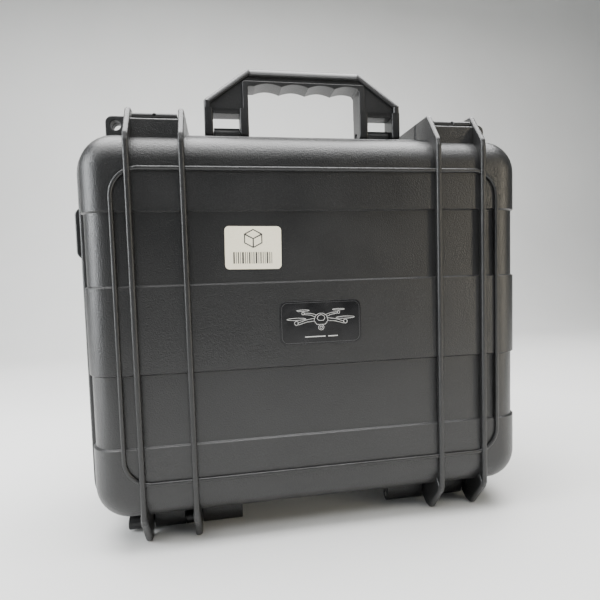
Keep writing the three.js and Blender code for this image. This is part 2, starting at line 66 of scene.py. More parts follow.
MM = 0.001
GAP = 0.3 * MM
PART_Y = HINGE.y
LID_RIM_Y = LID_HIGH.y if LID_HIGH.y < PART_Y else PART_Y - GAP / 2
BASE_RIM_Y = PART_Y + GAP / 2
GASKET_INSET = 3.5 * MM
RIM_HALF = GASKET_HIGH.x + GASKET_INSET
RIM_BOTTOM = GASKET_LOW.z - GASKET_INSET
RIM_TOP = GASKET_HIGH.z + GASKET_INSET
RIM_THICK = 7 * MM
RIM_CORNER = 29 * MM
RIB_CREST = BASE_HIGH.y
FIN_TOP = LID_HIGH.z

BODY_INSET = 4 * MM
WALL = 4 * MM
LID_SIDE_WALL = 4.5 * MM
FACE_Y = 61.5 * MM
LID_ROUND = 20 * MM
BASE_ROUND = 18 * MM
STEPS = [74.6 * MM, 125 * MM, 185.6 * MM, 235.5 * MM]
STEP_DEPTH = 1.6 * MM
STEP_STOP = 10.5 * MM  # the recessed bands end this far from the parting plane
RIB_X = [-127.1 * MM, -91.7 * MM, 91.7 * MM, 127.1 * MM]
RIB_WIDTH = 4 * MM
SIDES = (-1, 1)


# ---- mesh helpers ----


def linked(name, data):
    """A new object of the scene that holds the data."""
    thing = bpy.data.objects.new(name, data)
    bpy.context.scene.collection.objects.link(thing)
    return thing


def mesh_object(name, verts, faces):
    """A mesh object from point and face lists."""
    mesh = bpy.data.meshes.new(name)
    mesh.from_pydata([tuple(v) for v in verts], [], faces)
    return linked(name, mesh)


def tidy_normals(piece, angle=32):
    """Merges doubled points, turns faces outwards and shades smooth up to an angle."""
    work = bmesh.new()
    work.from_mesh(piece.data)
    bmesh.ops.remove_doubles(work, verts=work.verts, dist=0.00001)
    bmesh.ops.dissolve_degenerate(work, edges=work.edges, dist=0.000005)
    bmesh.ops.recalc_face_normals(work, faces=work.faces)
    work.to_mesh(piece.data)
    work.free()
    for polygon in piece.data.polygons:
        polygon.use_smooth = True
    piece.data.set_sharp_from_angle(angle=math.radians(angle))


def weighted(piece):
    """Keeps big flat faces flat where they meet small round ones."""
    modifier = piece.modifiers.new("weighted", "WEIGHTED_NORMAL")
    modifier.keep_sharp = True
    modifier.weight = 100


def join(name, pieces):
    """One object from several, each a closed body."""
    work = bmesh.new()
    for piece in pieces:
        piece.data.transform(piece.matrix_world)
        work.from_mesh(piece.data)
    mesh = bpy.data.meshes.new(name)
    work.to_mesh(mesh)
    work.free()
    for piece in pieces:
        bpy.data.objects.remove(piece)
    whole = linked(name, mesh)
    tidy_normals(whole)
    weighted(whole)
    return whole


def arc(cx, cy, radius, start, end, steps):
    """Points of an arc, from start to end in degrees."""
    angles = [math.radians(start + (end - start) * i / steps) for i in range(steps + 1)]
    return [(cx + radius * math.cos(a), cy + radius * math.sin(a)) for a in angles]


def filleted(corners, steps=5):
    """A closed outline from (u, v, radius) corners, with each corner rounded."""
    points = []
    count = len(corners)
    for i, (u, v, radius) in enumerate(corners):
        here = Vector((u, v))
        if radius <= 0:
            points.append((u, v))
            continue
        before = (Vector(corners[i - 1][:2]) - here).normalized()
        after = (Vector(corners[(i + 1) % count][:2]) - here).normalized()
        half = before.angle(after) / 2
        reach = radius / math.tan(half)
        centre = here + (before + after).normalized() * (radius / math.sin(half))
        first = here + before * reach - centre
        last = here + after * reach - centre
        turn = first.angle_signed(last)
        for k in range(steps + 1):
            spin = -turn * k / steps
            x = first.x * math.cos(spin) - first.y * math.sin(spin)
            y = first.x * math.sin(spin) + first.y * math.cos(spin)
            points.append((centre.x + x, centre.y + y))
    return points


def rounded_rect(left, right, low, high, radius, steps=6):
    corners = [(left, low), (right, low), (right, high), (left, high)]
    return filleted([(u, v, radius) for u, v in corners], steps)


def case_outline(inset, steps=10):
    """The case's outline in (x, z), moved in from the rim."""
    half = RIM_HALF - inset
    return rounded_rect(-half, half, RIM_BOTTOM + inset, RIM_TOP - inset, RIM_CORNER - inset, steps)


PLANES = {
    # an outline's (u, v) and the direction it is thickened along, as columns
    "xz": Matrix(((1, 0, 0, 0), (0, 0, -1, 0), (0, 1, 0, 0), (0, 0, 0, 1))),
    "yz": Matrix(((0, 0, 1, 0), (1, 0, 0, 0), (0, 1, 0, 0), (0, 0, 0, 1))),
    "xy": Matrix.Identity(4),
}


def slab(loops, plane, low, high, edge=0.0, steps=3):
    """A plate between two levels from closed outlines, the first the outside and the rest
    holes, with every edge rounded by a radius."""
    curve = bpy.data.curves.new("slab", "CURVE")
    curve.dimensions = "2D"
    curve.fill_mode = "BOTH"
    curve.extrude = (high - low) / 2 - edge
    curve.bevel_depth = edge
    curve.bevel_resolution = steps
    curve.offset = -edge
    for loop in loops:
        spline = curve.splines.new("POLY")
        spline.points.add(len(loop) - 1)
        for point, (u, v) in zip(spline.points, loop):
            point.co = (u, v, 0, 1)
        spline.use_cyclic_u = True
    holder = linked("slab", curve)
    bpy.context.view_layer.update()
    shaped = holder.evaluated_get(bpy.context.evaluated_depsgraph_get())
    mesh = bpy.data.meshes.new_from_object(shaped)
    bpy.data.objects.remove(holder)
    bpy.data.curves.remove(curve)
    middle = (low + high) / 2
    lift = Matrix.Translation((0, 0, -middle if plane == "xz" else middle))
    mesh.transform(PLANES[plane] @ lift)
    piece = linked("slab", mesh)
    tidy_normals(piece)
    return piece


def lathe(profile, axis, place, sides=64):
    """A turned piece from (radius, along) pairs, closed on its axis or on itself."""
    verts, faces = [], []
    count = len(profile)
    for i in range(sides):
        angle = 2 * math.pi * i / sides
        for radius, along in profile:
            verts.append((radius * math.cos(angle), radius * math.sin(angle), along))
    closed = profile[0] == profile[-1]
    for i in range(sides):
        j = (i + 1) % sides
        for k in range(count - 1):
            faces.append((i * count + k, j * count + k, j * count + k + 1, i * count + k + 1))
    piece = mesh_object("lathe", verts, faces)
    turn = {
        "x": Matrix.Rotation(math.pi / 2, 4, "Y"),
        "y": Matrix.Rotation(-math.pi / 2, 4, "X"),
        "z": Matrix.Identity(4),
    }[axis]
    piece.data.transform(Matrix.Translation(place) @ turn)
    if not closed and (profile[0][0] > 0 or profile[-1][0] > 0):
        raise ValueError("a lathe profile starts and ends on the axis")
    tidy_normals(piece)
    return piece


def rod(radius, axis, start, end, across, chamfer=0.0004, sides=48):
    """A round bar from start to end along an axis, with rounded ends. across holds the
    other two coordinates."""
    ends = arc(radius - chamfer, end - chamfer, chamfer, 0, 90, 3)
    tips = [(r, start + end - a) for r, a in reversed(ends)]
    profile = [(0, start)] + tips + ends + [(0, end)]
    place = (0, across[0], across[1]) if axis == "x" else (across[0], 0, across[1])
    if axis == "z":
        place = (across[0], across[1], 0)
    return lathe(profile, axis, place, sides)


def subtract(piece, tool):
    """Cuts one closed piece out of another."""
    modifier = piece.modifiers.new("cut", "BOOLEAN")
    modifier.operation = "DIFFERENCE"
    modifier.solver = "EXACT"
    modifier.object = tool
    bpy.context.view_layer.update()
    shaped = piece.evaluated_get(bpy.context.evaluated_depsgraph_get())
    mesh = bpy.data.meshes.new_from_object(shaped)
    piece.modifiers.clear()
    piece.data = mesh
    bpy.data.objects.remove(tool)
    tidy_normals(piece)
    return piece


def smoothstep(value):
    value = np.clip(value, 0, 1)
    return value * value * (3 - 2 * value)


# ---- the two moulded skins ----


def spaced(low, high, step, dense=(), reach=1.6 * MM, fine=0.35 * MM):
    """Grid lines from low to high, closer together round each of the dense places."""
    lines = list(np.linspace(low, high, max(2, int(round((high - low) / step)) + 1)))
    for place in dense:
        lines = [v for v in lines if abs(v - place) > reach or v in (low, high)]
        lines += list(np.arange(place - reach, place + reach + fine / 2, fine))
    return sorted(set(round(float(v), 7) for v in lines))


def band_depth(z):
    """How far the face is recessed at a height: 1 within the two low bands."""
    blend = 1.1 * MM
    depth = np.zeros_like(z)
    for low, high in (STEPS[:2], STEPS[2:]):
        rise = smoothstep((z - low) / blend + 0.5)
        fall = smoothstep((z - high) / blend + 0.5)
        depth += rise - fall
    return depth


def skin(name, side, profile, outer_rows, core):
    """A shell whose every section follows the case's outline.

    profile is a list of (offset, y) rows from the middle of the outer face, over the rim, to
    the middle of the inner face. Offsets are measured outwards from the core rectangle. The
    first outer_rows rows carry the recessed bands. side is -1 for the lid, +1 for the base.
    """
    half, low, high = core
    xs = spaced(-half, half, 6 * MM)
    zs = spaced(low, high, 5 * MM, STEPS)
    ring, normals = [], []
    corner_steps = 10

    def corner(x, z, start):
        for k in range(1, corner_steps):
            angle = math.radians(start + 90 * k / corner_steps)
            ring.append((x, z))
            normals.append((math.cos(angle), math.sin(angle)))

    for x in xs:
        ring.append((x, low))
        normals.append((0, -1))
    corner(half, low, -90)
    for z in zs:
        ring.append((half, z))
        normals.append((1, 0))
    corner(half, high, 0)
    for x in reversed(xs):
        ring.append((x, high))
        normals.append((0, 1))
    corner(-half, high, 90)
    for z in reversed(zs):
        ring.append((-half, z))
        normals.append((-1, 0))
    corner(-half, low, 180)
    ring = np.array(ring)
    normals = np.array(normals)
    count = len(ring)

    rows = []
    for i, (offset, y) in enumerate(profile):
        flat = ring + normals * offset
        rows.append(np.column_stack([flat[:, 0], np.full(count, y), flat[:, 1]]))
    points = np.array(rows)
    # the bands sink into the skin along its own slope
    slope = np.gradient(np.array(profile[:outer_rows]), axis=0)
    length = np.hypot(slope[:, 0], slope[:, 1])
    length[length == 0] = 1
    away_out = np.abs(slope[:, 1]) / length
    away_y = np.abs(slope[:, 0]) / length * side
    stop = PART_Y + side * STEP_STOP
    for i in range(outer_rows):
        mask = smoothstep((side * (points[i, :, 1] - stop)) / (1.4 * MM) + 0.5)
        depth = band_depth(points[i, :, 2]) * mask * STEP_DEPTH
        depth *= np.abs(normals[:, 0]) > 0.999
        points[i, :, 0] -= depth * normals[:, 0] * away_out[i]
        points[i, :, 1] -= depth * away_y[i]

    verts = [tuple(v) for v in points.reshape(-1, 3)]
    faces = []
    for i in range(len(profile) - 1):
        for j in range(count):
            k = (j + 1) % count
            faces.append((i * count + j, i * count + k, (i + 1) * count + k, (i + 1) * count + j))

    def face_grid(y, banded):
        start = len(verts)
        for z in zs:
            sink = band_depth(np.array([z]))[0] * STEP_DEPTH * side if banded else 0.0
            for x in xs:
                verts.append((x, y - sink, z))
        wide = len(xs)
        for r in range(len(zs) - 1):
            for c in range(wide - 1):
                a = start + r * wide + c
                faces.append((a, a + 1, a + wide + 1, a + wide))

    face_grid(profile[0][1], True)
    face_grid(profile[-1][1], False)
    piece = mesh_object(name, verts, faces)
    tidy_normals(piece, 40)
    return piece


def quarter(offset, y, radius, side, steps):
    """Rows of a quarter round from a face at y into a wall, starting at the offset."""
    rows = []
    for k in range(steps + 1):
        angle = math.pi / 2 * k / steps
        rows.append((offset + radius * math.sin(angle), y - side * radius * (1 - math.cos(angle))))
    return rows


def half_profile(side, face_y, rim_y, round_radius, side_wall, inner_round, groove):
    """Rows of a shell's section: outer face, quarter round, wall, flange, rim, inner wall."""
    spare = RIM_CORNER - BODY_INSET - round_radius
    out = spare + round_radius
    flange_y = rim_y + side * RIM_THICK
    fillet = 1.0 * MM
    soft = 1.8 * MM
    rows = [(0.0, face_y)] + quarter(spare, face_y, round_radius, side, 14)
    wall_from = rows[-1][1]
    stop = PART_Y + side * STEP_STOP
    dense = [stop + side * d * MM for d in (2.4, 1.6, 1.1, 0.7, 0.35, 0.0, -0.35, -0.7, -1.1)]
    walls = [y for y in dense if side * (y - wall_from) < 0]
    span = abs(wall_from - stop)
    for k in range(1, 8):
        y = wall_from - side * span * k / 8
        if side * (y - stop) > 2.6 * MM:
            walls.append(y)
    rows += [(out, y) for y in sorted(walls, key=lambda y: -side * y)]
    outer_rows = len(rows)
    rim_out = out + BODY_INSET
    # fillet into the flange, then its rounded outer edges
    for u, v in arc(out + fillet, 0, fillet, 180, 90, 3):
        rows.append((u, flange_y + side * (fillet - v)))
    for u, v in arc(rim_out - soft, 0, soft, 90, 0, 4):
        rows.append((u, flange_y - side * (soft - v)))
    for u, v in arc(rim_out - 0.7 * MM, 0, 0.7 * MM, 0, 90, 3):
        rows.append((u, rim_y + side * (0.7 * MM - v)))
    if groove:
        outer, inner, deep = groove
        for inset, at in ((outer, 0), (outer, deep), (inner, deep), (inner, 0)):
            rows.append((rim_out - inset, rim_y + side * at))
    inner_out = out - side_wall
    lip = 0.5 * MM
    for u, v in arc(inner_out + lip, 0, lip, 90, 180, 3):
        rows.append((u, rim_y + side * (lip - v)))
    inner_face = face_y - side * WALL
    rows += list(reversed(quarter(inner_out - inner_round, inner_face, inner_round, side, 10)))
    rows.append((0.0, inner_face))
    return rows, outer_rows


# half width, bottom and top of the flat core of a face
CORE = (RIM_HALF - RIM_CORNER, RIM_BOTTOM + RIM_CORNER, RIM_TOP - RIM_CORNER)


# ---- ribs, beads, knuckles, eyes ----


def rib_band(side):
    """The outline in (y, z) of one rib of the lid (side -1) or base (+1): its crest outside
    and a line buried in the shell's wall inside."""
    rim = PART_Y + side * GAP / 2
    bury = 2.2 * MM
    wall_top = RIM_TOP - BODY_INSET - bury
    wall_low = RIM_BOTTOM + BODY_INSET + bury
    face = side * (FACE_Y - bury)
    axis_z = HINGE.z
    foot = 10 * MM
    if side < 0:
        crest = [
            (rim, axis_z + 4.5 * MM, 0), (rim - 2 * MM, axis_z + 3 * MM, 0.5 * MM),
            (rim - 3.4 * MM, axis_z - 2 * MM, 0.5 * MM), (PART_Y - foot, 0, 2 * MM),
            (-46 * MM, 0, 4 * MM), (-63 * MM, 21 * MM, 6 * MM), (-RIB_CREST, 25 * MM, 2 * MM),
            (-RIB_CREST, 282 * MM, 3 * MM), (-64 * MM, 287 * MM, 4 * MM), (-48 * MM, FIN_TOP, 3.5 * MM),
            (rim, FIN_TOP, 0.6 * MM),
        ]
        inner = 22 * MM
    else:
        crest = [
            (rim, axis_z + 4.5 * MM, 0), (rim + 2 * MM, axis_z + 3 * MM, 0.5 * MM),
            (rim + 3.4 * MM, axis_z - 2 * MM, 0.5 * MM), (PART_Y + foot, 0, 2 * MM),
            (52 * MM, 0, 4 * MM), (62 * MM, 16 * MM, 5 * MM), (RIB_CREST, 24 * MM, 3 * MM),
            (RIB_CREST, 282 * MM, 6 * MM), (60 * MM, 292 * MM, 6 * MM), (50 * MM, 297 * MM, 6 * MM),
            (24 * MM, 297 * MM, 5 * MM), (10 * MM, FIN_TOP, 4 * MM), (rim, FIN_TOP, 0.6 * MM),
        ]
        inner = 16 * MM
    buried = [
        (rim, wall_top, 0), (face, wall_top, inner), (face, wall_low, inner), (rim, wall_low, 0),
    ]
    outline = filleted(crest + buried, 6)
    return outline if side > 0 else outline[::-1]


def toe(side):
    """The thicker end of a rib's foot, in (y, z)."""
    face = [(63, 21, 3), (46, 0, 4), (38, 0, 2.5), (36.5, 9, 2), (42, 22, 6), (57, 34, 4), (64, 26, 3)]
    if side > 0:
        face = [(62, 16, 3), (52, 0, 4), (-16, 0, 2.5), (-18, 9, 2), (-12, 14, 3), (50, 20, 6), (63, 24, 3)]
    outline = filleted([(side * u * MM, v * MM, radius * MM) for u, v, radius in face], 4)
    return outline[::-1] if side < 0 else outline


def ribs(side):
    outline = rib_band(side)
    half = RIB_WIDTH / 2
    toe_half = 2.6 * MM
    pieces = []
    for x in RIB_X:
        pieces.append(slab([outline], "yz", x - half, x + half, 1.6 * MM, 5))
        pieces.append(slab([toe(side)], "yz", x - toe_half, x + toe_half, 2 * MM, 5))
    return pieces


def face_bead():
    half, low, high, corner = 140 * MM, 47.5 * MM, 265.5 * MM, 20 * MM
    width = 3 * MM
    outer = rounded_rect(-half, half, low, high, corner, 12)
    inner = rounded_rect(-half + width, half - width, low + width, high - width, corner - width, 12)
    return slab([outer, inner[::-1]], "xz", -FACE_Y - 2 * MM, -FACE_Y + 3.2 * MM, 1.3 * MM, 4)


KNUCKLE_R = 4.75 * MM
PIN_HOLE_R = 2.1 * MM


def knuckle(side, start, end):
    """A hinge knuckle with its web, seen along the pin as one outline with a hole."""
    axis = (HINGE.y, HINGE.z)
    web = 6 * MM
    top = 14 * MM
    outline = [(axis[0] - GAP / 2, axis[1] + top), (axis[0] - GAP / 2, axis[1] + KNUCKLE_R)]
    outline += arc(axis[0], axis[1], KNUCKLE_R, 88, -180, 30)
    outline += [(axis[0] - web, axis[1] + 5 * MM), (axis[0] - web, axis[1] + top)]
    if side > 0:
        outline = [(2 * axis[0] - u, v) for u, v in outline][::-1]
    hole = arc(axis[0], axis[1], PIN_HOLE_R, 0, 345, 23)
    return slab([outline[::-1], hole], "yz", start, end, 0.5 * MM, 3)


LID_KNUCKLES = [(59 * MM, 89.3 * MM), (102.2 * MM, 124.7 * MM)]
BASE_KNUCKLES = [(94.1 * MM, 101.8 * MM), (129.5 * MM, 144 * MM)]


def knuckles(side):
    spans = LID_KNUCKLES if side < 0 else BASE_KNUCKLES
    pieces = []
    for mirror in SIDES:
        for span in spans:
            start, end = sorted(mirror * x for x in span)
            pieces.append(knuckle(side, start, end))
    return pieces


EYE_X, EYE_Z, EYE_R = 138 * MM, 299.5 * MM, 3.5 * MM


def padlock_eyes(side):
    rim = PART_Y + side * GAP / 2
    low, high = sorted((rim, rim + side * RIM_THICK))
    pieces = []
    for mirror in SIDES:
        near, far = sorted((mirror * (EYE_X - 9.5 * MM), mirror * (EYE_X + 7 * MM)))
        plate = rounded_rect(near, far, 280 * MM, EYE_Z + 6.5 * MM, 5 * MM)
        hole = arc(mirror * EYE_X, EYE_Z, EYE_R, 0, 350, 35)[::-1]
        pieces.append(slab([plate, hole], "xz", low, high, 0.7 * MM, 3))
    return pieces


LATCH_X = abs(LATCH_PIVOT.x)
CATCH_Y = (-52.7 * MM, -49.2 * MM)
CATCH_TOP = 299.5 * MM


def catch_walls():
    """The wall that each latch reaches over."""
    half = LATCH_X - abs(RIB_X[2])
    pieces = []
    for mirror in SIDES:
        middle = mirror * LATCH_X
        outline = [
            (CATCH_Y[0], 268 * MM, 0), (CATCH_Y[1], 268 * MM, 0), (CATCH_Y[1], CATCH_TOP, 0.8 * MM),
            (CATCH_Y[0], CATCH_TOP, 1.4 * MM),
        ]
        pieces.append(slab([filleted(outline)], "yz", middle - half, middle + half))
    return pieces


# ---- lid and base ----


def lid_shell():
    rows, outer_rows = half_profile(
        -1, -FACE_Y, LID_RIM_Y, LID_ROUND, LID_SIDE_WALL, LID_ROUND - 5 * MM, (3.2 * MM, 6 * MM, 2.6 * MM)
    )
    shell = skin("lid", -1, rows, outer_rows, CORE)
    parts = [shell, face_bead()] + ribs(-1) + knuckles(-1) + padlock_eyes(-1) + catch_walls()
    return join("lid_shell_moulding", parts)


def handle_lugs():
    """The lug that each handle leg straddles, a rounded post on the base's rim."""
    radius = 4.5 * MM
    y, z = HANDLE_PIVOT.y, HANDLE_PIVOT.z
    pieces = []
    for mirror in SIDES:
        start, end = sorted((mirror * 50.3 * MM, mirror * 69.7 * MM))
        outline = arc(y, z, radius, 0, 180, 18) + [(y - radius, 289 * MM), (y + radius, 289 * MM)]
        hole = arc(y, z, 2.25 * MM, 0, 345, 23)[::-1]
        pieces.append(slab([outline, hole], "yz", start, end, 0.6 * MM, 3))
    return pieces


def loop_seats():
    """The raised seat on each side wall that a strap loop is screwed to."""
    pieces = []
    for mirror, node in ((-1, "strap_loop_left"), (1, "strap_loop_right")):
        low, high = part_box(node)
        wall = RIM_HALF - BODY_INSET
        start, end = sorted((mirror * (wall - 3 * MM), mirror * wall))
        spare = 1.5 * MM
        seat = rounded_rect(low.y - spare, high.y + spare, low.z - spare, high.z + spare, 2.5 * MM)
        pieces.append(slab([seat], "yz", start, end, 0.6 * MM, 3))
    return pieces


def base_shell():
    rows, outer_rows = half_profile(
        1, FACE_Y, BASE_RIM_Y, BASE_ROUND, WALL, BASE_ROUND - 3 * MM, None
    )
    shell = skin("base", 1, rows, outer_rows, CORE)
    parts = [shell] + ribs(1) + knuckles(1) + padlock_eyes(1) + handle_lugs() + loop_seats()
    return join("base_shell_moulding", parts)


def gasket():
    """A soft seal with a rounded crown, lying in the lid's groove."""
    outer = case_outline(GASKET_INSET, 12)
    inner = case_outline(GASKET_INSET + 2.2 * MM, 12)[::-1]
    return slab([outer, inner], "xz", GASKET_LOW.y, GASKET_HIGH.y, 0.8 * MM, 4)


# ---- foam ----


def egg_crate_foam():
    """Convoluted foam: a flat back with round edges and a front of rounded peaks."""
    low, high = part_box("lid_foam")
    pitch = 26 * MM
    step = 2.6 * MM
    xs = np.linspace(low.x, high.x, int((high.x - low.x) / step))
    zs = np.linspace(low.z, high.z, int((high.z - low.z) / step))
    grid_x, grid_z = np.meshgrid(xs, zs)
    corner = 20 * MM
    middle_x, middle_z = (low.x + high.x) / 2, (low.z + high.z) / 2
    half_x, half_z = (high.x - low.x) / 2, (high.z - low.z) / 2

    def past_corner():
        """How far each point lies beyond the centres of the rounded corners."""
        across = np.maximum(np.abs(grid_x - middle_x) - (half_x - corner), 0)
        up = np.maximum(np.abs(grid_z - middle_z) - (half_z - corner), 0)
        return across, up, np.hypot(across, up)

    across, up, outside = past_corner()
    shrink = np.where(outside > corner, corner / np.maximum(outside, 1e-9), 1.0)
    pulled_x = middle_x + np.sign(grid_x - middle_x) * (half_x - corner + across * shrink)
    pulled_z = middle_z + np.sign(grid_z - middle_z) * (half_z - corner + up * shrink)
    grid_x = np.where(outside > corner, pulled_x, grid_x)
    grid_z = np.where(outside > corner, pulled_z, grid_z)
    edge = corner - past_corner()[2]
    beside = np.minimum(half_x - np.abs(grid_x - middle_x), half_z - np.abs(grid_z - middle_z))
    edge = np.minimum(edge, beside)

    def rounding(radius):
        """How far a round edge of this radius falls back at each point."""
        return radius * (1 - np.sqrt(np.clip(1 - (1 - np.clip(edge / radius, 0, 1)) ** 2, 0, 1)))

    wave = np.sin(grid_x * math.pi / pitch) * np.sin((grid_z - middle_z) * math.pi / pitch)
    crown = np.sign(wave) * np.abs(wave) ** 0.8
    front = high.y - 8 * MM + 7.2 * MM * crown - rounding(5 * MM)
    back = low.y + np.minimum(rounding(LID_ROUND - 7 * MM), (front - low.y) * 0.98)
    tall, wide = grid_x.shape
    verts = [(grid_x[r, c], front[r, c], grid_z[r, c]) for r in range(tall) for c in range(wide)]
    verts += [(grid_x[r, c], back[r, c], grid_z[r, c]) for r in range(tall) for c in range(wide)]
    faces = []
    shift = tall * wide
    for r in range(tall - 1):
        for c in range(wide - 1):
            a = r * wide + c
            faces.append((a, a + wide, a + wide + 1, a + 1))
            faces.append((a + shift, a + 1 + shift, a + wide + 1 + shift, a + wide + shift))
    border = [(0, c) for c in range(wide)] + [(r, wide - 1) for r in range(1, tall)]
    border += [(tall - 1, c) for c in range(wide - 2, -1, -1)] + [(r, 0) for r in range(tall - 2, 0, -1)]
    for (r0, c0), (r1, c1) in zip(border, border[1:] + border[:1]):
        a, b = r0 * wide + c0, r1 * wide + c1
        faces.append((a, b, b + shift, a + shift))
    piece = mesh_object("lid_foam_convoluted", verts, faces)
    tidy_normals(piece, 60)
    return piece


POCKETS = {
    # left, right, bottom, top
    "drone": (-140, 52, 44, 148),
    "controller": (-140, 22, 172, 262),
    "battery_low": (74, 140, 44, 80),
    "battery_middle": (74, 140, 92, 128),
    "battery_high": (74, 140, 140, 176),
    "charger": (50, 140, 196, 262),
}
FINGER_R = 12 * MM
FINGER_BACK = 20 * MM


def pocket_outline(left, right, low, high, fingers):
    """A rounded pocket, with a half-round hollow in its bottom and top edge for fingers."""
    left, right, low, high = (v * MM for v in (left, right, low, high))
    corner = 6 * MM
    if not fingers:
        return rounded_rect(left, right, low, high, corner)[::-1]
    middle = (left + right) / 2
    points = arc(left + corner, low + corner, corner, 180, 270, 6)
    points += arc(middle, low, FINGER_R, 180, 360, 18)
    points += arc(right - corner, low + corner, corner, 270, 360, 6)
    points += arc(right - corner, high - corner, corner, 0, 90, 6)
    points += arc(middle, high, FINGER_R, 0, 180, 18)
    points += arc(left + corner, high - corner, corner, 90, 180, 6)
    return points[::-1]


def cut_foam():
    low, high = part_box("base_foam_insert")
    outer = rounded_rect(low.x, high.x, low.z, high.z, 21 * MM, 10)
    front = [pocket_outline(*size, name in ("drone", "controller")) for name, size in POCKETS.items()]
    back = [pocket_outline(*size, False) for size in POCKETS.values()]
    pieces = [
        slab([outer] + front, "xz", low.y, FINGER_BACK, 1.2 * MM, 3),
        slab([outer] + back, "xz", FINGER_BACK - 0.6 * MM, high.y, 0.5 * MM, 2),
    ]
    return join("base_foam_cut_insert", pieces)


def foam_pad():
    low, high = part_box("base_foam_pad")
    outer = rounded_rect(low.x, high.x, low.z, high.z, 21 * MM, 10)
    piece = slab([outer], "xz", low.y, high.y, 4 * MM, 4)
    piece.name = "base_foam_floor_pad"
    return piece


# ---- handle ----

HANDLE_HALF = HANDLE_HIGH.x
HANDLE_TOP = HANDLE_HIGH.z
HANDLE_FRONT, HANDLE_BACK = HANDLE_LOW.y, HANDLE_HIGH.y
SHOULDER = 322.5 * MM
TOP_HALF = 43 * MM
WINDOW_HALF = 43.4 * MM
WINDOW_TOP = 332.4 * MM
FINGER_PITCH = 20.8 * MM
FINGER_DEPTH = 2.3 * MM
FINGER_SHIFT = 3 * MM
LEG_SPLIT = 314 * MM
FOOT_Z = HANDLE_LOW.z


def finger_line(low):
    """The window's edge from right foot to left foot, with four finger hollows on top."""
    half = WINDOW_HALF
    points = [(half, low), (half, WINDOW_TOP - 1.5 * MM)]
    steps = 60
    for i in range(steps, -1, -1):
        turn = 4 * i / steps
        x = FINGER_SHIFT + FINGER_PITCH * (turn - 2)
        if abs(x) < half - 0.5 * MM:
            points.append((x, WINDOW_TOP + FINGER_DEPTH * abs(math.sin(math.pi * turn)) ** 0.9))
    points += [(-half + 0.5 * MM, WINDOW_TOP), (-half, WINDOW_TOP - 1 * MM), (-half, low)]
    return points


def handle_path(low):
    """The handle's outside in (x, z) from left foot to right foot, as (point, normal, width,
    roundness) stations with its corners rounded."""
    corners = [
        (-HANDLE_HALF, low, 0), (-HANDLE_HALF, SHOULDER, 3 * MM), (-TOP_HALF, HANDLE_TOP, 2.5 * MM),
        (TOP_HALF, HANDLE_TOP, 2.5 * MM), (HANDLE_HALF, SHOULDER, 3 * MM), (HANDLE_HALF, low, 0),
    ]
    points = [Vector(p) for p in filleted(corners, 6)]
    stations = []
    for i, here in enumerate(points):
        before = (here - points[i - 1]).normalized() if i else None
        after = (points[i + 1] - here).normalized() if i < len(points) - 1 else None
        before = before or after
        after = after or before
        along = (before + after).normalized()
        normal = Vector((along.y, -along.x)) / max(0.5, along.dot(before))
        level = abs(along.x)
        top = float(smoothstep((level - 0.86) / 0.1))
        upright = float(smoothstep((0.4 - level) / 0.2))
        width = 5.0 * MM + 1.4 * MM * top
        roundness = 4.2 * MM + 1.8 * MM * top - 1.8 * MM * upright
        stations.append((here, normal, width, roundness))
    return stations


def handle_border(low):
    """The tube-like border that runs round the handle's outside."""
    verts, faces = [], []
    steps = 8
    count = 0
    for here, normal, width, radius in handle_path(low):
        section = [(width, HANDLE_FRONT + 0.8 * MM), (width - 0.8 * MM, HANDLE_FRONT)]
        for k in range(steps + 1):
            angle = math.pi / 2 * k / steps
            section.append((radius * (1 - math.sin(angle)), HANDLE_FRONT + radius * (1 - math.cos(angle))))
        section += [(inset, HANDLE_FRONT + HANDLE_BACK - y) for inset, y in reversed(section)]
        count = len(section)
        for inset, y in section:
            spot = here + normal * inset
            verts.append((spot.x, y, spot.y))
    stations = len(verts) // count
    for i in range(stations - 1):
        for j in range(count):
            k = (j + 1) % count
            faces.append((i * count + j, i * count + k, (i + 1) * count + k, (i + 1) * count + j))
    faces.append(tuple(range(count)))
    faces.append(tuple((stations - 1) * count + j for j in reversed(range(count))))
    piece = mesh_object("handle_border", verts, faces)
    tidy_normals(piece)
    return piece


